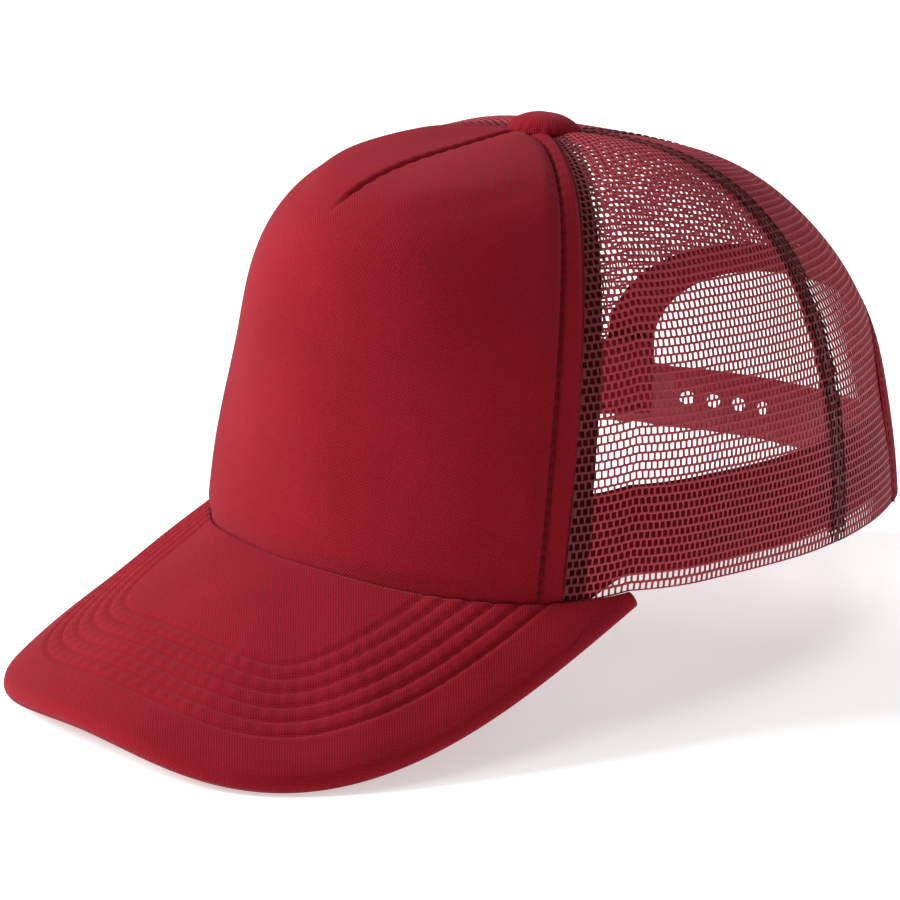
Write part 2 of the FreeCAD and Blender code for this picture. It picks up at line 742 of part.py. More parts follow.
def button():
    seat = size("crown_height") + size("button_seat")
    radius, rise, wall = size("button_radius"), size("button_rise"), size("button_wall")
    outside = dome("button_outside", radius, rise, seat)
    inside = dome("button_inside", radius - wall, rise - wall, seat)
    keep(cut("button_shell", outside, inside), "button_shell")

    washer_top = size("crown_height") - size("washer_drop")
    foot = washer_top - size("washer_thickness") - size("rivet_head_height")
    head = seat + rise - wall - size("layer_gap") - size("rivet_head_height") - wall
    stem = disc("rivet_stem", "sizes.rivet_radius", f"{head - foot}", foot)
    cap = disc("rivet_head", "sizes.rivet_head_radius", "sizes.rivet_head_height", head)
    rivet = doc.addObject("Part::MultiFuse", "button_rivet")
    rivet.Shapes = [stem, cap]
    keep(rivet, "button_rivet")

    level = washer_top - size("washer_thickness")
    plate = disc("washer_plate", "sizes.washer_radius", "sizes.washer_thickness", level)
    bore = disc("washer_bore", "sizes.rivet_radius + sizes.rivet_clearance",
                "sizes.washer_thickness", level)
    keep(cut("button_washer", plate, bore), "button_washer")


# ---------------------------------------------------------------- build, check and write
front_panel()
mesh_panels()
arch_binding()
sweatband()
seam_tapes()
brim()
hole_strap()
peg_strap()
strap_tabs()
button()
doc.recompute()

for thing in doc.Objects:
    if "Invalid" in thing.State or "Error" in thing.State:
        raise RuntimeError(f"{thing.Label} failed: {thing.State}")
for node in nodes:
    if node.Shape.isNull() or not node.Shape.isValid() or not node.Shape.Solids:
        raise RuntimeError(f"{node.Label} is not a sound solid")
for node in nodes:
    node.Shape.exportStep(f"parts/{node.Label}.step")
    print(f"{node.Label:24s} {node.Shape.Volume:10.1f} mm3, {len(node.Shape.Solids)} solid")

strap_axis = STAND.Rotation.multVec(Vector(0, 0, 1))
for name, side in (("hole_strap hinge", -1), ("peg_strap hinge", 1)):
    point = STAND.multVec(Vector(side * HINGE.x, HINGE.y, size("strap_centre")))
    print(name, point, "axis", strap_axis)
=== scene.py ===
"""Trucker cap: knit foam front, open mesh sides and back, stitched brim and a snap strap."""
from math import asin, cos, pi, radians, sin

import bmesh
import bpy
import numpy as np
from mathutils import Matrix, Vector


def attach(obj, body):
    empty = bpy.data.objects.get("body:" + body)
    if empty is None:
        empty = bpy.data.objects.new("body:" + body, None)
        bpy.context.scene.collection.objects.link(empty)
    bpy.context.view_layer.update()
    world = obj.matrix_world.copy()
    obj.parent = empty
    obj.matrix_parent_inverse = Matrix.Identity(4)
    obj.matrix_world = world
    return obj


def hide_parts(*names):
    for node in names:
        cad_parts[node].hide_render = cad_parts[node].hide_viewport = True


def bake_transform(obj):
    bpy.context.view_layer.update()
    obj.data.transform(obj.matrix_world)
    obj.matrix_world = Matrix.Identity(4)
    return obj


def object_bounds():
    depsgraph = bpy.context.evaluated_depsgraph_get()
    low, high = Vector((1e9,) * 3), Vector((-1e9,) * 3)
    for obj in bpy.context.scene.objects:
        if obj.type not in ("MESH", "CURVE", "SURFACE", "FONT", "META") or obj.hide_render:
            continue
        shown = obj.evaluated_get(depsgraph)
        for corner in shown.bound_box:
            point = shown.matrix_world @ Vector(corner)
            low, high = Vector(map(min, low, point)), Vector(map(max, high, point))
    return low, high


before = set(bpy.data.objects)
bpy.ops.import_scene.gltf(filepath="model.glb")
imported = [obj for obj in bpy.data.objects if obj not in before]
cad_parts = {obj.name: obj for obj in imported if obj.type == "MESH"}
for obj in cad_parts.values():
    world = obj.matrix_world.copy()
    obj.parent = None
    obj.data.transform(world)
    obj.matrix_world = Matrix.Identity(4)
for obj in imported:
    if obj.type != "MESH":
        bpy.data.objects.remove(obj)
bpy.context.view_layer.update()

MM = 0.001
chance = np.random.default_rng(11)

# ------------------------------------------------------------------ the cap's own sizes, mm
HALF_WIDTH, FRONT_DEPTH, REAR_DEPTH = 79.5, 80.0, 125.8
CROWN_TOP, BUTTON_Y = 89.2, -2.8
LEAN = {"front": -2.3, "side": -2.1, "rear": -13.5}
RISE = {"front": 83.0, "side": 121.3, "rear": 94.3}
SLOPE = {"front": 10.1, "side": 2.5, "rear": 0.0}
REACH = {"front": 105.4, "side": 5.7, "rear": 35.6}
FRONT_SEAM, SIDE_SEAM = radians(58.1), radians(114.3)
BRIM_ROOT, BRIM_PITCH, BRIM_ARCH = -22.3, radians(31.9), 131.0
BRIM_LENGTH, BRIM_HALF_WIDTH, BRIM_FULLNESS, BRIM_END = 71.3, 83.4, 3.15, radians(70.5)
RIM_RUN_ON = 11.0
ARCH_HALF, ARCH_TOP, ARCH_SPRING, ARCH_FULLNESS = 47.5, 47.5, 9.0, 2.5
BINDING = 7.5
LEAN_BACK = radians(8.2)
OPENING = np.array([0.0, (REAR_DEPTH - FRONT_DEPTH) / 2, -11.0])


def to_row(points):
    """Points in the cap's own frame, mm, stood up in the row frame, m."""
    points = np.asarray(points, float) - OPENING
    c, s = cos(LEAN_BACK), sin(LEAN_BACK)
    x, y, z = points[..., 0], points[..., 1], points[..., 2]
    return np.stack([x, c * y + s * z, c * z - s * y], -1) * MM


# ------------------------------------------------------------------ the crown's surface
def smooth(share):
    share = np.clip(share, 0.0, 1.0)
    return share * share * (3 - 2 * share)


def full_curve(c, s, fullness):
    """How far a full round outline reaches in the direction c, s."""
    return (np.abs(c) ** fullness + np.abs(s) ** fullness) ** (-1 / fullness)


def hump(distance, width):
    """A soft bump, 1 in the middle."""
    return np.exp(-((distance / width) ** 2))


def rim_plan(angle):
    depth = np.where(np.cos(angle) >= 0, FRONT_DEPTH, REAR_DEPTH)
    return HALF_WIDTH * np.sin(angle), -depth * np.cos(angle)


def brim_drop(x):
    return BRIM_ARCH - np.sqrt(np.maximum(BRIM_ARCH ** 2 - x * x, 1.0))


def brim_forward(x, y):
    return (brim_drop(x) * sin(BRIM_PITCH) - FRONT_DEPTH - y) / cos(BRIM_PITCH)


def brim_level(x, y):
    return BRIM_ROOT - brim_forward(x, y) * sin(BRIM_PITCH) - brim_drop(x) * cos(BRIM_PITCH)


def rim_level(angle):
    turn = np.abs(angle) % (2 * pi)
    turn = np.minimum(turn, 2 * pi - turn)
    start = brim_level(*rim_plan(BRIM_END))
    share = np.clip((turn - BRIM_END) / (pi - BRIM_END), 0, 1)
    behind = start * (1 - smooth(share)) + RIM_RUN_ON * share * (1 - share) ** 2
    return np.where(turn <= BRIM_END, brim_level(*rim_plan(angle)), behind)


def round_crown(kind, angle):
    c = np.cos(angle)
    end = np.where(c >= 0, kind["front"], kind["rear"])
    return end * c * c + kind["side"] * (1 - c * c)


def crown(angle, share, depth=0.0):
    """A point of the crown, depth under its outer face, in the cap's frame."""
    angle, share = np.broadcast_arrays(np.asarray(angle, float), np.asarray(share, float))
    x, y = rim_plan(angle)
    out = np.hypot(x, y - BUTTON_Y)
    ux, uy = x / out, (y - BUTTON_Y) / out
    lean, slope = (np.radians(round_crown(kind, angle)) for kind in (LEAN, SLOPE))
    rise, reach = (round_crown(kind, angle) for kind in (RISE, REACH))
    rim = rim_level(angle)
    outs = (out, out + rise * np.sin(lean), reach * np.cos(slope), 0 * out)
    ups = (rim, rim + rise * np.cos(lean), CROWN_TOP - reach * np.sin(slope), CROWN_TOP + 0 * out)
    rest = 1 - share
    weights = (rest ** 3, 3 * rest ** 2 * share, 3 * rest * share ** 2, share ** 3)
    r, z = (sum(w * p for w, p in zip(weights, poles)) for poles in (outs, ups))
    slopes = (rest ** 2, 2 * rest * share, share ** 2)
    run, climb = (sum(w * (b - a) for w, a, b in zip(slopes, poles, poles[1:]))
                  for poles in (outs, ups))
    length = np.hypot(run, climb)
    r = r - depth * climb / length
    z = z + depth * run / length
    return np.stack([ux * r, BUTTON_Y + uy * r, z], -1)


def crown_width(angle, share):
    """Width of the crown per radian."""
    step = 0.01
    return np.linalg.norm(crown(angle + step, share) - crown(angle - step, share), axis=-1) / (2 * step)


SHARES = np.linspace(-0.05, 0.995, 700)


def share_at_height(angle, height):
    """Share at a height over the rim, for each angle."""
    def one(a, up):
        z = crown(a, SHARES)[:, 2] - rim_level(a)
        return np.interp(up, z[:500], SHARES[:500])

    angle, height = np.broadcast_arrays(np.asarray(angle, float), np.asarray(height, float))
    flat = [one(a, h) for a, h in zip(angle.ravel(), height.ravel())]
    return np.array(flat).reshape(angle.shape)


def share_at_radius(angle, radius):
    def one(a):
        p = crown(a, SHARES)
        r = np.hypot(p[:, 0], p[:, 1] - BUTTON_Y)
        return np.interp(-radius, -r[350:], SHARES[350:])

    return np.array([one(a) for a in np.ravel(angle)]).reshape(np.shape(angle))


# ------------------------------------------------------------------ meshes
def lay_flat(mesh, uv):
    """Gives a mesh its flat layout, one place for each point."""
    layer = mesh.uv_layers.new(name="UVMap")
    loops = np.empty(len(mesh.loops), int)
    mesh.loops.foreach_get("vertex_index", loops)
    layer.data.foreach_set("uv", np.asarray(uv, np.float32)[loops].ravel())


def mesh_object(name, points, faces, uv=None, edges=()):
    """A piece from points in metres in the row frame."""
    mesh = bpy.data.meshes.new(name)
    mesh.from_pydata([tuple(p) for p in np.asarray(points, float)], edges, faces)
    mesh.update()
    if uv is not None:
        lay_flat(mesh, uv)
    piece = bpy.data.objects.new(name, mesh)
    bpy.context.collection.objects.link(piece)
    return piece


def shade_smooth(piece):
    piece.data.shade_smooth()
    return piece


def point_outwards(piece):
    """Turns a closed piece's faces outwards."""
    bm = bmesh.new()
    bm.from_mesh(piece.data)
    bmesh.ops.recalc_face_normals(bm, faces=bm.faces)
    bm.to_mesh(piece.data)
    bm.free()
    return piece


def slab(name, outer, inner, uv=None, closed=False):
    """A closed piece between two grids of points; closed joins the last column to the first."""
    rows, columns = outer.shape[:2]
    points = np.concatenate([outer.reshape(-1, 3), inner.reshape(-1, 3)])
    half = rows * columns
    index = np.arange(half).reshape(rows, columns)
    faces = []
    span = columns if closed else columns - 1
    for i in range(rows - 1):
        for j in range(span):
            k = (j + 1) % columns
            a, b, c, d = index[i, j], index[i, k], index[i + 1, k], index[i + 1, j]
            faces += [(a, b, c, d), (d + half, c + half, b + half, a + half)]
    for i in (0, rows - 1):
        for j in range(span):
            k = (j + 1) % columns
            a, b = index[i, j], index[i, k]
            faces.append((b, a, a + half, b + half) if i == 0 else (a, b, b + half, a + half))
    if not closed:
        for j in (0, columns - 1):
            for i in range(rows - 1):
                a, b = index[i, j], index[i + 1, j]
                faces.append((a, b, b + half, a + half) if j == 0 else (b, a, a + half, b + half))
    both = None if uv is None else np.concatenate([uv.reshape(-1, 2)] * 2)
    piece = mesh_object(name, to_row(points), [tuple(int(v) for v in f) for f in faces], both)
    return shade_smooth(point_outwards(piece))


def paint(piece, material):
    piece.data.materials.clear()
    piece.data.materials.append(material)
    return piece


def finished(piece):
    """The piece with its modifiers made part of its mesh."""
    evaluated = piece.evaluated_get(bpy.context.evaluated_depsgraph_get())
    mesh = bpy.data.meshes.new_from_object(evaluated)
    piece.modifiers.clear()
    piece.data = mesh
    return piece


def flip_side(points):
    """The other side of the cap."""
    return points * np.array([-1.0, 1.0, 1.0])


# ------------------------------------------------------------------ materials
def shader_nodes(name):
    material = bpy.data.materials.new(name)
    material.use_nodes = True
    nodes, links = material.node_tree.nodes, material.node_tree.links
    return material, nodes, links, nodes["Principled BSDF"]


def value_noise(nodes, links, vector, scale, detail=3.0, roughness=0.55):
    noise = nodes.new("ShaderNodeTexNoise")
    noise.inputs["Scale"].default_value = scale
    noise.inputs["Detail"].default_value = detail
    noise.inputs["Roughness"].default_value = roughness
    links.new(vector, noise.inputs["Vector"])
    return noise.outputs["Fac"]


def math_node(nodes, links, operation, first, second=0.5, third=None):
    node = nodes.new("ShaderNodeMath")
    node.operation = operation
    for socket, value in zip(node.inputs, (first, second, third)):
        if isinstance(value, (int, float)):
            socket.default_value = value
        elif value is not None:
            links.new(value, socket)
    return node.outputs[0]


def two_tone(nodes, links, factor, dark, light, low=0.3, high=0.7):
    ramp = nodes.new("ShaderNodeValToRGB")
    ramp.color_ramp.elements[0].position, ramp.color_ramp.elements[1].position = low, high
    ramp.color_ramp.elements[0].color = (*dark, 1)
    ramp.color_ramp.elements[1].color = (*light, 1)
    links.new(factor, ramp.inputs["Fac"])
    return ramp.outputs["Color"]


def weave(nodes, links, vector, across, along):
    """Height of a fine weave from a flat layout in metres, across and along in threads a metre."""
    parts = nodes.new("ShaderNodeSeparateXYZ")
    links.new(vector, parts.inputs[0])
    u = math_node(nodes, links, "MULTIPLY", parts.outputs["X"], across * 2 * pi)
    v = math_node(nodes, links, "MULTIPLY", parts.outputs["Y"], along * 2 * pi)
    wales = math_node(nodes, links, "SINE", u)
    courses = math_node(nodes, links, "SINE", v)
    return math_node(nodes, links, "MULTIPLY", wales, courses)


def cloth(name, dark, light, threads=(1100.0, 1100.0), bump=0.35, bump_depth=0.0002, grain=0.5,
          roughness=0.88, sheen=0.2, sheen_tint=(1.0, 0.32, 0.40), specular=0.06, seam_painted_shade=None):
    """Knitted or woven cloth on its own flat layout."""
    material, nodes, links, shader = shader_nodes(name)
    layout = nodes.new("ShaderNodeUVMap")
    layout.uv_map = "UVMap"
    place = nodes.new("ShaderNodeTexCoord").outputs["Object"]
    broad = value_noise(nodes, links, place, 45.0)
    fine = value_noise(nodes, links, place, 1500.0, detail=2.0)
    threads_height = weave(nodes, links, layout.outputs["UV"], *threads)
    mixed = math_node(nodes, links, "MULTIPLY", broad, 0.5)
    mixed = math_node(nodes, links, "MULTIPLY_ADD", fine, 0.5, mixed)
    mixed = math_node(nodes, links, "MULTIPLY_ADD", threads_height, 0.05, mixed)
    tone = two_tone(nodes, links, mixed, dark, light, 0.3, 0.7)
    # Where the piece's 'sewn' point attribute is 1, the colour is mixed towards a darker tone: painted
    # shade standing in for the shade of a doubled, taped seam.
    if seam_painted_shade is not None:
        sewn = nodes.new("ShaderNodeAttribute")
        sewn.attribute_name = "sewn"
        shaded = nodes.new("ShaderNodeMix")
        shaded.data_type = "RGBA"
        links.new(sewn.outputs["Fac"], shaded.inputs["Factor"])
        links.new(tone, shaded.inputs["A"])
        shaded.inputs["B"].default_value = (*seam_painted_shade, 1)
        tone = shaded.outputs["Result"]
    links.new(tone, shader.inputs["Base Color"])
    height = math_node(nodes, links, "MULTIPLY_ADD", fine, grain, threads_height)
    bumped = nodes.new("ShaderNodeBump")
    bumped.inputs["Strength"].default_value = bump
    bumped.inputs["Distance"].default_value = bump_depth
    links.new(height, bumped.inputs["Height"])
    links.new(bumped.outputs["Normal"], shader.inputs["Normal"])
    shader.inputs["Roughness"].default_value = roughness
    shader.inputs["Specular IOR Level"].default_value = specular
    shader.inputs["Sheen Weight"].default_value = sheen
    shader.inputs["Sheen Roughness"].default_value = 0.45
    shader.inputs["Sheen Tint"].default_value = (*sheen_tint, 1)
    return material


def plain(name, colour, roughness, metallic=0.0, specular=0.5, coat=0.0):
    """Moulded or metal parts, with a faint unevenness."""
    material, nodes, links, shader = shader_nodes(name)
    place = nodes.new("ShaderNodeTexCoord").outputs["Object"]
    broad = value_noise(nodes, links, place, 160.0)
    tone = two_tone(nodes, links, broad, tuple(c * 0.9 for c in colour), colour)
    links.new(tone, shader.inputs["Base Color"])
    shader.inputs["Roughness"].default_value = roughness
    shader.inputs["Metallic"].default_value = metallic
    shader.inputs["Specular IOR Level"].default_value = specular
    shader.inputs["Coat Weight"].default_value = coat
    return material


FOAM_KNIT = cloth("foam_backed_knit", (0.19, 0.0042, 0.0095), (0.25, 0.0068, 0.0150), bump=0.4)
# The mesh yarn gets a darker tone beside its seams: painted shade for the doubled seam allowance and the
# tape seen through it.
MESH_YARN = cloth("mesh_yarn", (0.32, 0.016, 0.032), (0.45, 0.030, 0.054), threads=(2600.0, 2600.0),
                  bump=0.3, roughness=0.5, sheen=0.1, specular=0.4, seam_painted_shade=(0.13, 0.0045, 0.009))
BAND_CLOTH = cloth("sweatband_twill", (0.20, 0.006, 0.013), (0.28, 0.011, 0.022),
                   threads=(900.0, 1400.0))
TAPE_CLOTH = cloth("seam_tape_twill", (0.085, 0.0026, 0.0055), (0.125, 0.0042, 0.0085),
                   threads=(1200.0, 1200.0), sheen=0.08)
BINDING_CLOTH = cloth("binding_twill", (0.19, 0.006, 0.013), (0.27, 0.010, 0.021),
                      threads=(1400.0, 1400.0), sheen=0.12)
THREAD = plain("sewing_thread", (0.085, 0.003, 0.006), 0.7, specular=0.2)
STRAP_PLASTIC = plain("strap_plastic", (0.45, 0.028, 0.052), 0.38, coat=0.1)
BOARD_PLASTIC = plain("brim_board_plastic", (0.75, 0.74, 0.70), 0.5)
STEEL = plain("button_steel", (0.62, 0.61, 0.60), 0.32, metallic=1.0)


# ------------------------------------------------------------------ repeated detail
def node_tree(name, *numbers):
    """A geometry node group with a geometry in and out and named number inputs."""
    tree = bpy.data.node_groups.new(name, "GeometryNodeTree")
    tree.interface.new_socket("Geometry", in_out="INPUT", socket_type="NodeSocketGeometry")
    for words in numbers:
        tree.interface.new_socket(words, in_out="INPUT", socket_type="NodeSocketFloat")
    tree.interface.new_socket("Material", in_out="INPUT", socket_type="NodeSocketMaterial")
    tree.interface.new_socket("Geometry", in_out="OUTPUT", socket_type="NodeSocketGeometry")
    return tree, tree.nodes.new("NodeGroupInput"), tree.nodes.new("NodeGroupOutput")


def perforate_tree():
    """Every open face of a net gets its hole."""
    tree, given, result = node_tree("perforate_mesh", "Hole Share")
    link = tree.links.new
    opened = tree.nodes.new("GeometryNodeInputNamedAttribute")
    opened.data_type = "BOOLEAN"
    opened.inputs["Name"].default_value = "open"
    inset = tree.nodes.new("GeometryNodeExtrudeMesh")
    inset.mode = "FACES"
    inset.inputs["Offset Scale"].default_value = 0.0
    inset.inputs["Individual"].default_value = True
    shrink = tree.nodes.new("GeometryNodeScaleElements")
    shrink.domain = "FACE"
    away = tree.nodes.new("GeometryNodeDeleteGeometry")
    away.domain = "FACE"
    yarn = tree.nodes.new("GeometryNodeSetMaterial")
    link(given.outputs["Geometry"], inset.inputs["Mesh"])
    link(opened.outputs["Attribute"], inset.inputs["Selection"])
    link(inset.outputs["Mesh"], shrink.inputs["Geometry"])
    link(inset.outputs["Top"], shrink.inputs["Selection"])
    link(given.outputs["Hole Share"], shrink.inputs["Scale"])
    link(shrink.outputs["Geometry"], away.inputs["Geometry"])
    link(inset.outputs["Top"], away.inputs["Selection"])
    link(away.outputs["Geometry"], yarn.inputs["Geometry"])
    link(given.outputs["Material"], yarn.inputs["Material"])
    link(yarn.outputs["Geometry"], result.inputs["Geometry"])
    return tree


def stitch_tree():
    """A stitch laid at every step along a line."""
    tree, given, result = node_tree("stitch_rows", "Stitch Step", "Stitch Length", "Thread")
    link = tree.links.new
    line = tree.nodes.new("GeometryNodeMeshToCurve")
    steps = tree.nodes.new("GeometryNodeResampleCurve")
    steps.mode = "LENGTH"
    bead = tree.nodes.new("GeometryNodeMeshUVSphere")
    bead.inputs["Segments"].default_value = 7
    bead.inputs["Rings"].default_value = 5
    bead.inputs["Radius"].default_value = 0.5
    shape = tree.nodes.new("ShaderNodeCombineXYZ")
    tangent = tree.nodes.new("GeometryNodeInputTangent")
    aligned = tree.nodes.new("FunctionNodeAlignRotationToVector")
    aligned.axis = "X"
    laid = tree.nodes.new("GeometryNodeInstanceOnPoints")
    real = tree.nodes.new("GeometryNodeRealizeInstances")
    soft = tree.nodes.new("GeometryNodeSetShadeSmooth")
    thread = tree.nodes.new("GeometryNodeSetMaterial")
    link(given.outputs["Geometry"], line.inputs["Mesh"])
    link(line.outputs["Curve"], steps.inputs["Curve"])
    link(given.outputs["Stitch Step"], steps.inputs["Length"])
    link(given.outputs["Stitch Length"], shape.inputs["X"])
    link(given.outputs["Thread"], shape.inputs["Y"])
    link(given.outputs["Thread"], shape.inputs["Z"])
    link(tangent.outputs["Tangent"], aligned.inputs["Vector"])
    link(steps.outputs["Curve"], laid.inputs["Points"])
    link(bead.outputs["Mesh"], laid.inputs["Instance"])
    link(aligned.outputs["Rotation"], laid.inputs["Rotation"])
    link(shape.outputs["Vector"], laid.inputs["Scale"])
    link(laid.outputs["Instances"], real.inputs["Geometry"])
    link(real.outputs["Geometry"], soft.inputs["Geometry"])
    link(soft.outputs["Geometry"], thread.inputs["Geometry"])
    link(given.outputs["Material"], thread.inputs["Material"])
    link(thread.outputs["Geometry"], result.inputs["Geometry"])
    return tree


def run_tree(piece, tree, **settings):
    """Runs a node group on a piece, its inputs found by name, and keeps the result as its mesh."""
    modifier = piece.modifiers.new(tree.name, "NODES")
    modifier.node_group = tree
    sockets = {item.name: item.identifier for item in tree.interface.items_tree
               if item.item_type == "SOCKET" and item.in_out == "INPUT"}
    for words, value in settings.items():
        modifier[sockets[words.replace("_", " ").title()]] = value
    return finished(piece)


PERFORATE = perforate_tree()
STITCHES = stitch_tree()


def stitch_rows(name, lines, step=3.0, length=2.5, thread=0.5, material=THREAD):
    """One piece of stitches along lines, each a list of points in the cap's frame."""
    points, edges, first = [], [], 0
    for line in lines:
        points.append(to_row(line))
        edges += [(first + i, first + i + 1) for i in range(len(line) - 1)]
        first += len(line)
    piece = mesh_object(name, np.concatenate(points), [], edges=edges)
    return run_tree(piece, STITCHES, Stitch_Step=step * MM, Stitch_Length=length * MM,
                    Thread=thread * MM, Material=material)


# ------------------------------------------------------------------ open mesh panels
CELL_WIDTH, CELL = 1.72, 2.2
HOLE_SHARE = 0.73
YARN = 0.42
CROWN_HOLE = 5.0
CLIMB = np.linspace(0, 0.999, 400)


def run_along(points):
    """Distance along a line of points."""
    steps = np.linalg.norm(np.diff(points, axis=0), axis=1)
    return np.concatenate([[0.0], np.cumsum(steps)])


def waves(u, v, seed, size):
    """Slow soft unevenness, about -1 to 1, over a flat layout in mm."""
    pick = np.random.default_rng(seed)
    total = 0.0
    for _ in range(6):
        a, b, c = pick.uniform(-1, 1), pick.uniform(-1, 1), pick.uniform(0, 2 * pi)
        total = total + np.sin((a * u + b * v) * 2 * pi / size + c)
    return total / 2.6


def in_arch(x, z, margin):
    """True inside the opening over the strap, grown by margin."""
    across, height = ARCH_HALF + margin, ARCH_TOP + margin - ARCH_SPRING
    above = np.maximum(z - ARCH_SPRING, 0) / height
    return (np.abs(x) / across) ** ARCH_FULLNESS + above ** ARCH_FULLNESS < 1


def mesh_panel(name, start, end, painted_shade_start_width, mirrored, bound=False):
    """One panel of open mesh: brick rows that follow the rim, cut at the seams."""
    angles = np.linspace(start, end, 81)
    surface = crown(angles[:, None], CLIMB[None, :])
    steps = np.linalg.norm(np.diff(surface, axis=1), axis=2)
    lengths = np.concatenate([np.zeros((81, 1)), np.cumsum(steps, 1)], 1)
    tops = share_at_radius(angles, CROWN_HOLE)
    ends = np.array([np.interp(t, CLIMB, row) for t, row in zip(tops, lengths)])
    half = CELL_WIDTH / 2
    points, layout, sewn, first, lowest, highest = [], [], [], [], [], []
    rows = int(ends.max() / CELL) + 1
    for k in range(rows + 1):
        level = np.minimum(k * CELL, ends)
        shares = np.array([np.interp(s, row, CLIMB) for s, row in zip(level, lengths)])
        run = run_along(crown(angles, shares))
        run -= run[40]
        low, high = int(np.ceil(run[0] / half + 0.35)), int(np.floor(run[-1] / half - 0.35))
        low, high = min(low, 0), max(high, 0)
        columns = np.arange(low - 1, high + 2)
        inner = (columns >= low) & (columns <= high)
        across = np.clip(columns * half + chance.normal(0, 0.05, len(columns)) * inner,
                         run[0], run[-1])
        across[0], across[-1] = run[0], run[-1]
        where = np.interp(across, run, angles)
        share = np.interp(across, run, shares)
        climbed = crown(where, share + 0.002) - crown(where, share - 0.002)
        speed = np.linalg.norm(climbed, axis=1) / 0.004
        zigzag = np.where((columns - k) % 2 == 0, 0.05, -0.05) * inner * (0 < k < rows)
        zigzag = zigzag + chance.normal(0, 0.04, len(columns)) * inner * (k > 0)
        share = share + zigzag / speed
        sag = 0.35 * waves(across, k * CELL, 5, 46.0) * np.minimum(1, (run[-1] - np.abs(across)) / 12)
        first.append(len(points))
        lowest.append(low - 1)
        highest.append(high + 1)
        points += list(crown(where, share, -0.05 - sag))
        layout += list(np.stack([across, np.full(len(across), k * CELL)], 1) * MM)
        # Points within the seam zones are marked 'sewn' so the yarn there is drawn darker: painted shade of
        # the doubled seam, not a different yarn colour.
        sewn += list(((across - run[0] < painted_shade_start_width) | (run[-1] - across < 4.2)) * 1.0)
    points, layout = np.array(points), np.array(layout)
    faces, opened, cut_area = [], [], 0.0
    for k in range(rows):
        left = min(lowest[k], lowest[k + 1]) - 2
        left += (left - k) % 2
        for m in range(left, max(highest[k], highest[k + 1]) + 2, 2):
            below = [(k, c) for c in (m, m + 1, m + 2)]
            above = [(k + 1, c) for c in (m + 2, m + 1, m)]
            loop = list(dict.fromkeys(first[r] + min(max(c, lowest[r]), highest[r]) - lowest[r]
                                      for r, c in below + above))
            if len(loop) < 3:
                continue
            corners = points[loop]
            middle = corners.mean(0)
            corner_pairs = np.cross(corners - middle, np.roll(corners, -1, 0) - middle)
            area = 0.5 * np.linalg.norm(corner_pairs, axis=1).sum()
            if area < 0.04 * CELL * CELL_WIDTH or (bound and in_arch(middle[0], middle[2], 3.5)):
                continue
            faces.append(loop if not mirrored else loop[::-1])
            opened.append(area > 0.5 * CELL * CELL_WIDTH and len(loop) > 4)
            cut_area += area
    if mirrored:
        points = flip_side(points)
    piece = mesh_object(name, to_row(points), faces, layout)
    marks = piece.data.attributes.new("open", "BOOLEAN", "FACE")
    marks.data.foreach_set("value", [bool(hole) for hole in opened])
    painted_shade_attribute = piece.data.attributes.new("sewn", "FLOAT", "POINT")
    painted_shade_attribute.data.foreach_set("value", sewn)
    run_tree(piece, PERFORATE, Hole_Share=HOLE_SHARE, Material=MESH_YARN)
    thick = piece.modifiers.new("yarn", "SOLIDIFY")
    thick.thickness = YARN * MM
    thick.offset = -1
    shade_smooth(finished(piece))
    return piece


# ------------------------------------------------------------------ tubes and strips
def side_by_side(lines):
    """Lines of points as the rings that cross them."""
    return np.array(lines).transpose(1, 0, 2)


def tube(name, rings, uv, material):
    """A closed strip through rings of points in the cap's frame, its two ends capped."""
    count, around = rings.shape[:2]
    index = np.arange(count * around).reshape(count, around)
    faces = [tuple(int(v) for v in reversed(index[0])), tuple(int(v) for v in index[-1])]
    for i in range(count - 1):
        for j in range(around):
            k = (j + 1) % around
            faces.append((int(index[i, j]), int(index[i, k]), int(index[i + 1, k]), int(index[i + 1, j])))
    piece = mesh_object(name, to_row(rings.reshape(-1, 3)), faces, uv.reshape(-1, 2))
    return paint(shade_smooth(point_outwards(piece)), material)


# ------------------------------------------------------------------ foam front
FOAM, PINCHED, FOAM_RAMP, FRONT_TUCK = 3.0, 1.0, 12.0, 4.0
TOPSTITCH = 6.2
DART_FROM = 0.60


def foam_rise(seam, side, share, over_rim, across, climb):
    """How far the foam stands out of the crown's line, mm."""
    strip = smooth(seam / 2.2)
    body = 0.9 * strip + 0.9 * smooth((seam - TOPSTITCH) / 5.0)
    groove = 1.25 * hump(seam - TOPSTITCH, 0.75)
    dart = smooth((share - DART_FROM) / 0.10)
    narrow = np.minimum(1.0, side / 22.0)
    crease = 1.5 * hump(across, 0.9) * dart * narrow ** 0.5
    lobes = 1.3 * hump(np.abs(across) - 0.42 * side, 0.30 * side + 2) * dart * narrow
    pucker = 0.16 * np.sin(climb * 2 * pi / 4.6 + 0.8 * waves(across, climb, 3, 30.0))
    pucker = pucker * (hump(seam - TOPSTITCH, 2.6) + dart * hump(across, 4.0) * narrow)
    soft = 0.35 * waves(across, climb, 8, 42.0) * strip
    return (body - groove - crease + lobes + pucker + soft - 0.25) * smooth((over_rim - 0.5) / 5.0)


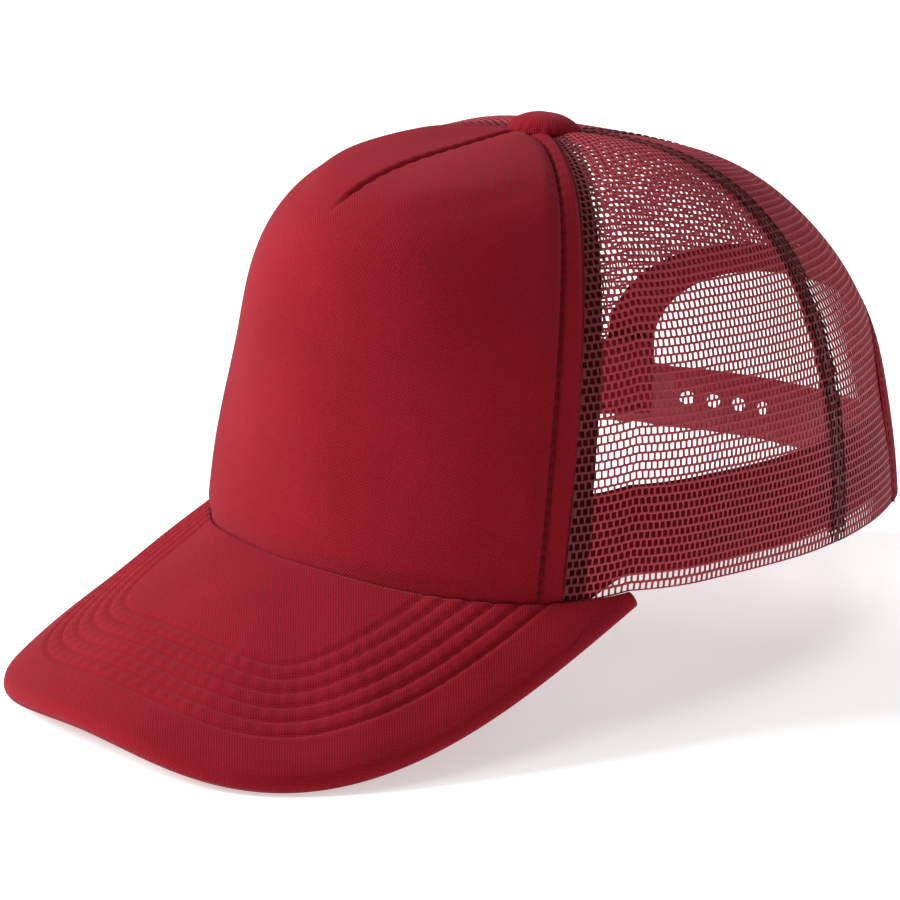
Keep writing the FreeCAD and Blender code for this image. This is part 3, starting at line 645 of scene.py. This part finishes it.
def front_panel():
    rows = 150
    dense = np.linspace(0.0, FRONT_SEAM, 100)
    low = share_at_height(dense, np.full(100, -FRONT_TUCK))
    high = share_at_radius(dense, CROWN_HOLE)
    seam_columns = np.concatenate([np.linspace(0, 0.82, 26), np.linspace(0.82, 1, 4)[1:]])
    outer, inner, flat, groove_line = [], [], [], []
    climb = np.zeros(100)
    before = None
    for i in range(rows + 1):
        shares = low + (high - low) * i / rows
        line = crown(dense, shares)
        if before is not None:
            climb = climb + np.linalg.norm(line - before, axis=1)
        before = line
        run = run_along(line)
        side = run[-1]
        edge, middle = min(11.0, 0.5 * side), min(7.0, 0.25 * side)
        seam = np.concatenate([seam_columns * edge,
                               np.linspace(edge, side - middle, 42)[1:],
                               np.linspace(side - middle, side, 18)[1:]])
        across = side - seam
        angle = np.interp(across, run, dense)
        share = np.interp(across, run, shares)
        climbed = np.interp(across, run, climb)
        over_rim = np.interp(across, run, line[:, 2] - rim_level(dense))
        row_out, row_in, row_flat = [], [], []
        for sign in (-1.0, 1.0):
            rise = foam_rise(seam, side, share, over_rim, sign * across, climbed)
            swell = PINCHED + (FOAM - PINCHED) * smooth((seam - 5.5) / FOAM_RAMP)
            top = crown(sign * angle, share, -rise)
            back = crown(sign * angle, share, swell)
            order = slice(None) if sign < 0 else slice(-2, None, -1)
            row_out.append(top[order])
            row_in.append(back[order])
            row_flat.append((np.stack([sign * across, climbed], 1) * MM)[order])
            if side > TOPSTITCH * 1.8 and climbed[0] > FRONT_TUCK + 1:
                at = np.interp(side - TOPSTITCH, run, dense)
                groove_line.append((sign, crown(sign * at, np.interp(at, dense, shares), -0.15)))
        outer.append(np.concatenate(row_out))
        inner.append(np.concatenate(row_in))
        flat.append(np.concatenate(row_flat))
    panel = slab("front_panel_foam", np.array(outer), np.array(inner), np.array(flat))
    paint(panel, FOAM_KNIT)
    lines = [np.array([p for s, p in groove_line if s == sign]) for sign in (-1.0, 1.0)]
    return panel, lines


# ------------------------------------------------------------------ brim
BRIM_FOAM, BRIM_BOTTOM, BRIM_TOTAL = 2.2, 4.15, 5.15
BRIM_ROWS = 14.5 + 4.7 * np.arange(6)
BRIM_GAP = 0.4
TOP_ROUND, UNDER_ROUND = 2.6, 2.5


def brim_point(u, s, depth):
    """A point of the brim: u round its arch, s forward along its pitch, depth under its top."""
    radius = BRIM_ARCH - depth
    x = radius * np.sin(u / BRIM_ARCH)
    level = radius * np.cos(u / BRIM_ARCH) - BRIM_ARCH
    c, sn = cos(BRIM_PITCH), sin(BRIM_PITCH)
    return np.stack([x, -FRONT_DEPTH - s * c - level * sn, BRIM_ROOT - s * sn + level * c], -1)


BRIM_BASE = float(brim_forward(*rim_plan(BRIM_END)))


def brim_outline(turn):
    """The brim's edge, laid flat."""
    c, s = np.cos(turn), np.sin(turn)
    reach = full_curve(c, s, BRIM_FULLNESS)
    return np.stack([BRIM_HALF_WIDTH * c * reach, BRIM_BASE + (BRIM_LENGTH - BRIM_BASE) * s * reach], -1)


def brim_root(angle, gap):
    """Where the crown meets the brim, laid flat."""
    x, y = (HALF_WIDTH + gap) * np.sin(angle), -(FRONT_DEPTH + gap) * np.cos(angle)
    return np.stack([BRIM_ARCH * np.arcsin(x / BRIM_ARCH), brim_forward(x, y)], -1)


EDGE = brim_outline(np.linspace(0, pi, 1200))


def edge_distance(flat):
    """Distance inside the brim's front edge, for flat points."""
    shape = flat.shape[:-1]
    points = flat.reshape(-1, 2)
    start, step = EDGE[:-1], np.diff(EDGE, axis=0)
    best = np.full(len(points), 1e9)
    for i in range(0, len(points), 4000):
        some = points[i:i + 4000, None, :] - start[None]
        t = np.clip((some * step).sum(-1) / (step ** 2).sum(-1), 0, 1)
        best[i:i + 4000] = np.linalg.norm(some - t[..., None] * step, axis=-1).min(1)
    return best.reshape(shape)


def brim_grid():
    turns = np.linspace(0, pi, 241)
    steps = np.concatenate([[0, 0.12, 0.3, 0.55, 0.85, 1.2, 1.6, 2.05, 2.5], np.linspace(3.1, 71.3, 108)])
    out = brim_outline(turns)
    root = brim_root(BRIM_END * np.cos(turns), BRIM_GAP)
    way = root - out
    length = np.linalg.norm(way, axis=1)
    share = steps[:, None] / 71.3
    near = steps[:, None] / np.maximum(length[None], 3.0)
    share = np.where(length[None] > 30, near * (1 - share ** 3) + share * share ** 3, share)
    share = np.clip(share, 0, 1)
    share[-1] = 1.0
    return out[None] + way[None] * share[..., None]


def round_over(inside, radius):
    """How far a rounded edge falls away, by the distance inside it."""
    return radius - np.sqrt(np.maximum(radius ** 2 - (radius - np.minimum(inside, radius)) ** 2, 0))


def brim_pieces():
    flat = brim_grid()
    inside = edge_distance(flat)
    u, s = flat[..., 0], flat[..., 1]
    along = np.arctan2(s + 20, u) * 80
    nearest = np.abs(inside[..., None] - BRIM_ROWS).min(-1)
    grooves = 0.75 * hump(nearest, 0.65)
    stitched = smooth((inside - 12.5) / 3) * (1 - smooth((inside - 38.0) / 4))
    wrinkle = 0.13 * np.sin(along * 2 * pi / 5.2 + 1.5 * waves(u, s, 21, 24.0)) * stitched
    wrinkle = wrinkle * smooth(nearest / 1.6)
    soft = 0.22 * waves(u, s, 17, 36.0)
    puff = 0.35 + 0.55 * smooth(inside / 7.0)
    fade = smooth(inside / 3.0)
    lift = (puff + soft) * fade + wrinkle - grooves
    top = brim_point(u, s, round_over(inside, TOP_ROUND) - lift)
    ceiling = np.where(inside > 2.2, BRIM_FOAM, np.maximum(BRIM_FOAM, 2.62 - 0.15 * inside))
    over = slab("brim_top_padded", top, brim_point(u, s, ceiling), flat * MM)
    paint(over, FOAM_KNIT)
    round_under = BRIM_TOTAL - round_over(inside, UNDER_ROUND)
    dents = -0.22 * hump(nearest, 0.8)
    under = brim_point(u, s, round_under + dents + 0.06 * waves(u, s, 30, 20.0) * fade)
    rim = 2.68
    lining = np.where(inside < UNDER_ROUND, rim + (BRIM_BOTTOM - rim) * inside / UNDER_ROUND, BRIM_BOTTOM)
    below = slab("brim_under_cloth", brim_point(u, s, lining), under, flat * MM)
    paint(below, FOAM_KNIT)
    out, root = flat[0], flat[-1]
    length = np.linalg.norm(root - out, axis=1)
    wide = length > 14
    start = 3.2 / length[wide]
    share = start + (1 - start) * np.linspace(0, 1, 40)[:, None]
    u, s = np.moveaxis(out[wide] + (root - out)[wide] * share[..., None], -1, 0)
    board = slab("brim_board_moulded", brim_point(u, s, 2.35), brim_point(u, s, 3.95),
                 np.stack([u, s], -1) * MM)
    paint(board, BOARD_PLASTIC)
    return over, below, board


def brim_stitch_lines(depth):
    """The stitch lines: the edge moved inwards, up to the crown."""
    lines = []
    heading = np.gradient(EDGE, axis=0)
    heading /= np.linalg.norm(heading, axis=1)[:, None]
    inwards = np.stack([-heading[:, 1], heading[:, 0]], 1)
    for distance in BRIM_ROWS:
        line = EDGE + inwards * distance
        true = edge_distance(line) > distance - 0.08
        x = BRIM_ARCH * np.sin(line[:, 0] / BRIM_ARCH)
        drop = brim_drop(x)
        y = drop * sin(BRIM_PITCH) - FRONT_DEPTH - line[:, 1] * cos(BRIM_PITCH)
        clear = (x / (HALF_WIDTH + 1.2)) ** 2 + (y / (FRONT_DEPTH + 1.2)) ** 2 > 1
        line = line[true & clear & (y < 0)]
        lines.append(brim_point(line[:, 0], line[:, 1], np.full(len(line), depth)))
    return lines


# ------------------------------------------------------------------ sweatband, tapes, binding
BAND_TOP, BAND_LIFT, BAND_OUT, BAND_IN, TUCK_FADE = 26.7, 3.0, 3.4, 5.4, radians(14)
BAND_END = pi - asin((ARCH_HALF + 0.5) / HALF_WIDTH)


def band_low(angle):
    risen = smooth((np.abs(angle) - FRONT_SEAM) / TUCK_FADE)
    return -FRONT_TUCK + (BAND_LIFT + FRONT_TUCK) * risen


def sweatband():
    """A folded band of foam-backed cloth round the inside of the rim."""
    angles = np.linspace(-BAND_END, BAND_END, 361)
    low = band_low(angles)
    run = run_along(crown(angles, 0.0))
    shape = [(0.00, 0.35), (0.015, 0.05), (0.06, 0.0), (0.2, 0.0), (0.4, 0.0), (0.6, 0.0), (0.8, 0.0),
             (0.94, 0.0), (0.985, 0.15), (1.0, 0.5), (0.99, 0.8), (0.96, 0.97), (0.9, 1.0), (0.86, 0.86),
             (0.82, 1.02), (0.7, 1.12), (0.5, 1.18), (0.3, 1.14), (0.15, 1.04), (0.11, 0.84),
             (0.07, 0.98), (0.02, 0.9)]
    rings = []
    flat = []
    for share_up, share_in in shape:
        height = low + (BAND_TOP - low) * share_up
        wrinkle = 0.16 * waves(run, np.full(361, share_up * 20), 40, 16.0) * (share_in > 0.9)
        depth = BAND_OUT + 0.1 + (BAND_IN - BAND_OUT - 0.2) * share_in + wrinkle
        rings.append(crown(angles, share_at_height(angles, height), depth))
        flat.append(np.stack([run, height + 40 * (share_in > 0.45)], 1) * MM)
    piece = tube("sweatband_cloth", side_by_side(rings), side_by_side(flat), BAND_CLOTH)
    lines = []
    for up in (0.11, 0.86):
        height = low + (BAND_TOP - low) * up
        lines.append(crown(angles, share_at_height(angles, height), BAND_IN - 0.15)[3:-3])
    return piece, lines


def seam_tape(name, angle, low, high, left, right, depth):
    """A tape under a seam, from left to right of it in mm."""
    count = 90
    shares = np.linspace(low, high, count)
    width = crown_width(np.full(count, angle), shares)
    shape = [(0.0, 0.3), (0.03, 0.05), (0.2, 0.0), (0.5, 0.0), (0.8, 0.0), (0.97, 0.05), (1.0, 0.3),
             (0.97, 0.55), (0.8, 0.6), (0.5, 0.6), (0.2, 0.6), (0.03, 0.55)]
    run = run_along(crown(np.full(count, angle), shares))
    rings, flat = [], []
    for across, inwards in shape:
        offset = left + (right - left) * across
        rings.append(crown(angle + offset / width, shares, depth + inwards))
        flat.append(np.stack([np.full(count, offset + 20 * (inwards > 0.3)), run], 1) * MM)
    piece = tube(name, side_by_side(rings), side_by_side(flat), TAPE_CLOTH)
    return piece


def seam_lines(angle, low, high, offsets, depth):
    """Lines beside a seam for its stitches."""
    shares = np.linspace(low, high, 160)
    width = crown_width(np.full(160, angle), shares)
    return [crown(angle + offset / width, shares, depth) for offset in offsets]


def from_behind(x, z):
    """Angle and share of the crown point seen from behind at x and height z."""
    x, z = np.asarray(x, float), np.asarray(z, float)
    angle = pi - np.arcsin(np.clip(x / HALF_WIDTH, -0.95, 0.95))
    share = np.clip((z - rim_level(angle)) / 150.0, 0, 0.9)
    for _ in range(12):
        here = crown(angle, share)
        turned = (crown(angle + 1e-4, share) - here) / 1e-4
        climbed = (crown(angle, share + 1e-4) - here) / 1e-4
        dx, dz = x - here[..., 0], z - here[..., 2]
        a, b, c, d = turned[..., 0], climbed[..., 0], turned[..., 2], climbed[..., 2]
        det = a * d - b * c
        angle = angle + np.clip((dx * d - b * dz) / det, -0.15, 0.15)
        share = share + np.clip((a * dz - dx * c) / det, -0.1, 0.1)
    return angle, share


def arch_line(grown):
    """The opening's edge grown by some mm, seen from behind, from the rim round to the rim."""
    across, top = ARCH_HALF + grown, ARCH_TOP + grown
    turn = np.linspace(0, pi, 121)
    c, s = np.cos(turn), np.sin(turn)
    reach = full_curve(c, s, ARCH_FULLNESS)
    x, z = across * c * reach, ARCH_SPRING + (top - ARCH_SPRING) * s * reach
    foot = float(rim_level(pi - asin(across / HALF_WIDTH)))
    legs = np.linspace(foot, ARCH_SPRING, 14)[:-1]
    side = np.full(13, across)
    return np.concatenate([side, x, -side]), np.concatenate([legs, z, legs[::-1]])


def binding():
    """A folded tape sewn over the edge of the opening."""
    shape = [(7.5, -0.2), (7.3, -0.45), (6.6, -0.5), (6.1, -0.32), (5.6, -0.55), (4.0, -0.7), (2.2, -0.68),
             (0.9, -0.5), (0.2, 0.0), (0.0, 0.5), (0.2, 1.0), (0.9, 1.4), (2.2, 1.55), (4.0, 1.57),
             (5.6, 1.45), (6.1, 1.25), (6.6, 1.4), (7.3, 1.35), (7.5, 1.1), (7.4, 0.75), (5.5, 0.72),
             (3.0, 0.70), (1.2, 0.65), (0.75, 0.4), (1.2, 0.0), (3.0, -0.05), (5.5, -0.05), (7.4, -0.05)]
    rings, flat = [], []
    for number, (across, depth) in enumerate(shape):
        x, z = arch_line(across)
        angle, share = from_behind(x, z)
        run = run_along(np.stack([x, z], 1))
        outside = depth < -0.1 or depth > 0.9
        wrinkle = 0.06 * np.sin(run * 2 * pi / 3.4) * (1 if outside and 2 < across < 7.3 else 0.3) * outside
        rings.append(crown(angle, share, depth - wrinkle * (1 if depth < 0.5 else -1)))
        flat.append(np.stack([run, np.full(len(run), number * 1.1)], 1) * MM)
    piece = tube("arch_binding_tape", side_by_side(rings), side_by_side(flat), BINDING_CLOTH)
    x, z = arch_line(6.1)
    angle, share = from_behind(x, z)
    return piece, [crown(angle, share, -0.42), crown(angle, share, 1.35)]


# ------------------------------------------------------------------ snap straps
STRAP_HEIGHT, STRAP_MIDDLE, STRAP_THICK, STRAP_UNDER = 18.0, 4.0, 1.2, 1.8
HINGE_INSET, STRAP_GAP, HOLE_PITCH, FIRST_HOLE, STRAP_TIP = 3.0, 0.4, 7.5, 3.2, 6.0
HOLES, FREE_HOLES, PEGS, HOLE_RADIUS, TAB_LENGTH = 8, 4, 7, 2.0, 15.0
HINGE_X = ARCH_HALF - HINGE_INSET
MIDDLE_DEPTH = STRAP_UNDER + STRAP_THICK / 2
hinge_y = REAR_DEPTH * (1 - (HINGE_X / HALF_WIDTH) ** 2) ** 0.5
hinge_out = np.array([HINGE_X / HALF_WIDTH ** 2, hinge_y / REAR_DEPTH ** 2])
HINGE = np.array([HINGE_X, hinge_y]) - hinge_out / np.linalg.norm(hinge_out) * MIDDLE_DEPTH
BULGE = REAR_DEPTH - MIDDLE_DEPTH - HINGE[1]
ARC_RADIUS = (HINGE[0] ** 2 + BULGE ** 2) / (2 * BULGE)
ARC_MIDDLE = HINGE[1] + BULGE - ARC_RADIUS
HINGE_TURN = asin(HINGE[0] / ARC_RADIUS)


def strap_blank(name, first, last, holes, tip):
    """A strap laid flat in mm: its length along X from the hinge, with round holes in it."""
    half = STRAP_HEIGHT / 2
    stations = np.array([-1.0, -0.66, -0.33, 0.0, 0.33, 0.66, 1.0])
    points, faces, seen = [], [], {}

    def spot(x, z):
        reach = max(0.0, x - (tip - 5.0))
        limit = half - 5 + (max(25 - reach ** 2, 0.0)) ** 0.5 if reach > 0 else half
        key = (round(x, 3), round(z, 3))
        if key not in seen:
            seen[key] = len(points)
            points.append((x, z * limit / half if abs(z) > 2.6 else z, 0.0))
        return seen[key]

    def patch(left, right, hole):
        middle, wide = (left + right) / 2, (right - left) / 2
        if not hole:
            for a, b in zip(stations, stations[1:]):
                faces.append((spot(left, a * half), spot(right, a * half),
                              spot(right, b * half), spot(left, b * half)))
            return
        rising, falling = stations[:-1], stations[::-1][:-1]
        border = [(-wide, s * half) for s in falling] + [(s * wide, -half) for s in rising]
        border += [(wide, s * half) for s in rising] + [(s * wide, half) for s in falling]
        rings = []
        for radius in (HOLE_RADIUS, 2.5):
            turns = [np.arctan2(b * wide / half if abs(b) == half else b, a) for a, b in border]
            rings.append([len(points) + i for i in range(24)])
            points.extend((middle + radius * cos(t), radius * sin(t), 0.0) for t in turns)
        rings.append([spot(middle + a, b) for a, b in border])
        for small, large in zip(rings, rings[1:]):
            for i in range(24):
                k = (i + 1) % 24
                faces.append((small[i], small[k], large[k], large[i]))

    sides = [h + way * HOLE_PITCH / 2 for h in holes for way in (-1, 1)]
    edges = sorted({round(x, 4) for x in (first, last, *sides)})
    for left, right in zip(edges, edges[1:]):
        hole = any(abs((left + right) / 2 - h) < 0.1 for h in holes)
        if hole:
            patch(left, right, True)
            continue
        count = max(1, round((right - left) / 1.5))
        cuts = np.linspace(left, right, count + 1)
        for a, b in zip(cuts, cuts[1:]):
            patch(float(a), float(b), False)
    blank = point_outwards(mesh_object(name, points, faces))
    thick = blank.modifiers.new("thickness", "SOLIDIFY")
    thick.thickness, thick.offset = STRAP_THICK, 0
    eased = blank.modifiers.new("eased_edges", "BEVEL")
    eased.width, eased.segments, eased.limit_method, eased.angle_limit = 0.28, 2, "ANGLE", radians(50)
    return finished(blank)


def add_pegs(blank, places, outwards):
    """Round-topped pegs standing out of a flat strap."""
    bm = bmesh.new()
    bm.from_mesh(blank.data)
    profile = [(1.75, 0.2), (1.7, 0.75), (1.45, 1.25), (1.1, 1.75), (0.72, 2.15), (0.35, 2.28)]
    for place in places:
        rings = [[bm.verts.new((place + r * cos(t), r * sin(t), outwards * h))
                  for t in np.linspace(0, 2 * pi, 16, endpoint=False)] for r, h in profile]
        for low, high in zip(rings, rings[1:]):
            for i in range(16):
                k = (i + 1) % 16
                bm.faces.new((low[i], low[k], high[k], high[i]))
        bm.faces.new(rings[0][::-1])
        bm.faces.new(rings[-1])
    bmesh.ops.recalc_face_normals(bm, faces=bm.faces)
    bm.to_mesh(blank.data)
    bm.free()
    return blank


def bend_strap(blank, side, radius):
    """Bends a flat strap round the back of the cap, its sewn end laid along the crown."""
    flat = np.empty(len(blank.data.vertices) * 3)
    blank.data.vertices.foreach_get("co", flat)
    flat = flat.reshape(-1, 3)
    length, height, out = flat[:, 0], flat[:, 1], flat[:, 2]
    ahead = np.maximum(length, 0.0) / ARC_RADIUS
    turn = HINGE_TURN - ahead
    reach = radius + out
    x, y = reach * np.sin(turn), ARC_MIDDLE + reach * np.cos(turn)
    angles = np.linspace(pi - asin(HINGE_X / HALF_WIDTH), radians(112), 60)
    sewn_depth = MIDDLE_DEPTH + ARC_RADIUS - radius
    crown_line = crown(angles, share_at_height(angles, np.full(60, 10.0)), sewn_depth)
    run = run_along(crown_line[:, :2])
    back = np.maximum(-length, 0.0)
    along = np.gradient(crown_line[:, :2], run, axis=0)
    px, py = (np.interp(back, run, crown_line[:, i]) for i in (0, 1))
    tx, ty = (np.interp(back, run, along[:, i]) for i in (0, 1))
    sewn = smooth((3.0 - length) / 6.0)
    x = x * (1 - sewn) + (px - out * ty) * sewn
    y = y * (1 - sewn) + (py + out * tx) * sewn
    bottom = np.interp(back, run, rim_level(angles)) + STRAP_HEIGHT / 2
    level = STRAP_MIDDLE * (1 - smooth(back / 12)) + bottom * smooth(back / 12)
    points = to_row(np.stack([side * x, y, level + height], -1))
    blank.data.vertices.foreach_set("co", points.astype(np.float32).ravel())
    blank.data.update()
    lay_flat(blank.data, flat[:, :2] * MM)
    point_outwards(blank)
    blank.data.shade_smooth()
    return paint(blank, STRAP_PLASTIC)


def straps():
    holes = [FIRST_HOLE + HOLE_PITCH * i for i in range(HOLES)]
    tip = holes[-1] + STRAP_TIP
    outer = strap_blank("hole_strap_moulded", -TAB_LENGTH, tip, holes, tip)
    outer = bend_strap(outer, -1, ARC_RADIUS)
    inner_radius = ARC_RADIUS - STRAP_THICK - STRAP_GAP
    whole = 2 * HINGE_TURN * ARC_RADIUS
    pegs = [whole - holes[FREE_HOLES] - HOLE_PITCH * i for i in range(PEGS)]
    tip = pegs[0] + STRAP_TIP
    inner = strap_blank("peg_strap_moulded", -TAB_LENGTH, tip, [], tip)
    inner = bend_strap(add_pegs(inner, pegs, 1), 1, inner_radius)
    return outer, inner


def button():
    """A domed button covered with the front's cloth, gathered under its edge."""
    profile = [(0.35, 5.75), (1.5, 5.68), (3.0, 5.45), (4.5, 5.05), (6.0, 4.4), (7.4, 3.55), (8.6, 2.5),
               (9.5, 1.3), (10.0, 0.1), (10.05, -0.5), (9.7, -1.0), (9.0, -1.15), (8.7, -0.4), (8.3, 0.3),
               (7.0, 1.8), (5.4, 2.9), (3.6, 3.7), (1.8, 4.1), (0.35, 4.2)]
    turns = np.linspace(0, 2 * pi, 96, endpoint=False)
    gather = np.cos(22 * turns) + 0.5 * np.cos(13 * turns + 1)
    rings, flat = [], []
    for radius, level in profile:
        low = smooth((radius - 6.5) / 3.5)
        wide = radius + 0.10 * gather * low
        rise = level + 0.05 * gather * low + 0.05 * np.sin(3 * turns) * (level > 4.3)
        rings.append(np.stack([wide * np.sin(turns), BUTTON_Y - wide * np.cos(turns),
                               CROWN_TOP + 0.1 + 0.82 * rise], -1))
        flat.append(np.stack([wide * np.sin(turns), wide * np.cos(turns)], -1) * MM)
    return tube("button_cloth", np.array(rings), np.array(flat), FOAM_KNIT)


# ------------------------------------------------------------------ put the cap together
def wear(piece, nodes):
    """The piece goes with the cap and stands for these parts of it."""
    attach(piece, "cap")
    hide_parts(*nodes)
    return piece


foam, topstitch_lines = front_panel()
wear(foam, ["front_panel"])

edge = 0.1 / HALF_WIDTH
for side, mirrored in (("left", False), ("right", True)):
    one = mesh_panel(f"side_mesh_{side}_net", FRONT_SEAM + edge, SIDE_SEAM - edge, 5.8, mirrored)
    two = mesh_panel(f"rear_mesh_{side}_net", SIDE_SEAM + edge, pi - edge, 4.2, mirrored, bound=True)
    for piece, node in ((one, f"side_mesh_{side}"), (two, f"rear_mesh_{side}")):
        wear(piece, [node])

top_cover, under_cloth, board = brim_pieces()
wear(top_cover, ["brim_top_cover"])
wear(under_cloth, ["brim_bottom_cover"])
wear(board, ["brim_board"])

band, band_lines = sweatband()
wear(band, ["sweatband"])

for side, sign in (("left", 1), ("right", -1)):
    low, high = share_at_height(sign * FRONT_SEAM, BAND_LIFT), share_at_radius(sign * FRONT_SEAM, 10.0)
    left, right = (-3.0, 6.0) if sign > 0 else (-6.0, 3.0)
    tape = seam_tape(f"front_seam_tape_{side}_cloth", sign * FRONT_SEAM, low, high, left, right, 1.15)
    wear(tape, [f"front_seam_tape_{side}"])
    low, high = share_at_height(sign * SIDE_SEAM, BAND_LIFT), share_at_radius(sign * SIDE_SEAM, 10.0)
    tape = seam_tape(f"side_seam_tape_{side}_cloth", sign * SIDE_SEAM, low, high, -4.2, 4.2, 0.6)
    wear(tape, [f"side_seam_tape_{side}"])
above_arch = share_at_height(pi, ARCH_TOP + BINDING - 1.5)
tape = seam_tape("rear_seam_tape_cloth", pi, above_arch, share_at_radius(pi, 10.0), -4.0, 4.0, 0.8)
wear(tape, ["rear_seam_tape"])

bound, binding_lines = binding()
wear(bound, ["arch_binding"])

dome = button()
wear(dome, ["button_shell"])

hole_strap, peg_strap = straps()
for strap, body, side in ((hole_strap, "hole_strap", -1), (peg_strap, "peg_strap", 1)):
    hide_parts(body, f"{body}_tab")
    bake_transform(strap)

for node in ("button_rivet", "button_washer"):
    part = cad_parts[node]
    paint(part, STEEL)

# ------------------------------------------------------------------ stitches
sewn = stitch_rows("brim_stitches", brim_stitch_lines(0.42), step=3.3, length=2.7, thread=0.55)
lines = list(topstitch_lines)
for sign in (1, -1):
    side_low, side_high = share_at_height(SIDE_SEAM, 1.5), share_at_radius(SIDE_SEAM, 11.0)
    lines += seam_lines(sign * SIDE_SEAM, side_low, side_high, (-3.1, 3.1), -0.15)
lines += seam_lines(pi, above_arch, share_at_radius(pi, 11.0), (-3.1, 3.1), -0.15)
panel_sewn = stitch_rows("panel_stitches", lines, step=2.9, length=2.4, thread=0.45)
band_sewn = stitch_rows("sweatband_stitches", band_lines, step=3.2, length=2.6, thread=0.45)
binding_sewn = stitch_rows("binding_stitches", binding_lines, step=2.8, length=2.3, thread=0.42)
for piece, slot_name in ((sewn, "foam_knit"), (panel_sewn, "foam_knit"), (band_sewn, "sweatband"),
                         (binding_sewn, "binding")):
    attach(piece, "cap")

# ------------------------------------------------------------------ studio
low_corner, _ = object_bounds()


def quad(name, points, material):
    piece = mesh_object(name, points, [tuple(range(len(points)))])
    return paint(piece, material)


paper, nodes, links, shader = shader_nodes("studio_paper")
shader.inputs["Base Color"].default_value = (0.90, 0.90, 0.90, 1)
shader.inputs["Roughness"].default_value = 0.95
shader.inputs["Specular IOR Level"].default_value = 0.1
shader.inputs["Emission Color"].default_value = (1, 1, 1, 1)
shader.inputs["Emission Strength"].default_value = 0.5
level = low_corner.z - 0.0003
ground = quad("floor", [(-6, -6, level), (6, -6, level), (6, 6, level), (-6, 6, level)], paper)

world = bpy.data.worlds.new("studio")
bpy.context.scene.world = world
world.use_nodes = True
sky = world.node_tree.nodes["Background"]
sky.inputs["Color"].default_value = (1.0, 1.0, 1.0, 1)
sky.inputs["Strength"].default_value = 0.2


def soft_light(name, place, aim, size_m, power, colour=(1, 1, 1)):
    data = bpy.data.lights.new(name, "AREA")
    data.shape, data.size, data.energy, data.color = "DISK", size_m, power, colour
    lamp = bpy.data.objects.new(name, data)
    lamp.location = place
    lamp.rotation_mode = "QUATERNION"
    lamp.rotation_quaternion = (Vector(aim) - Vector(place)).to_track_quat("-Z", "Y")
    bpy.context.collection.objects.link(lamp)
    return lamp


centre = (0, -0.02, 0.02)
soft_light("key", (-1.0, -1.1, 0.85), centre, 0.9, 44)
soft_light("fill", (1.4, -0.9, 0.7), centre, 1.2, 2)
soft_light("top", (0.1, 0.4, 1.5), centre, 1.0, 6)

camera_data = bpy.data.cameras.new("camera")
camera = bpy.data.objects.new("camera", camera_data)
bpy.context.collection.objects.link(camera)
camera_data.lens, camera_data.sensor_width = 171.8, 36.0
camera_data.clip_start, camera_data.clip_end = 0.05, 50
camera.location = (0.82326, -0.76433, 0.34113)
camera.rotation_mode = "QUATERNION"
camera.rotation_quaternion = Vector((-0.72246, 0.63172, -0.28103)).to_track_quat("-Z", "Y")
bpy.context.scene.camera = camera
bpy.context.scene.view_settings.view_transform = "Standard"
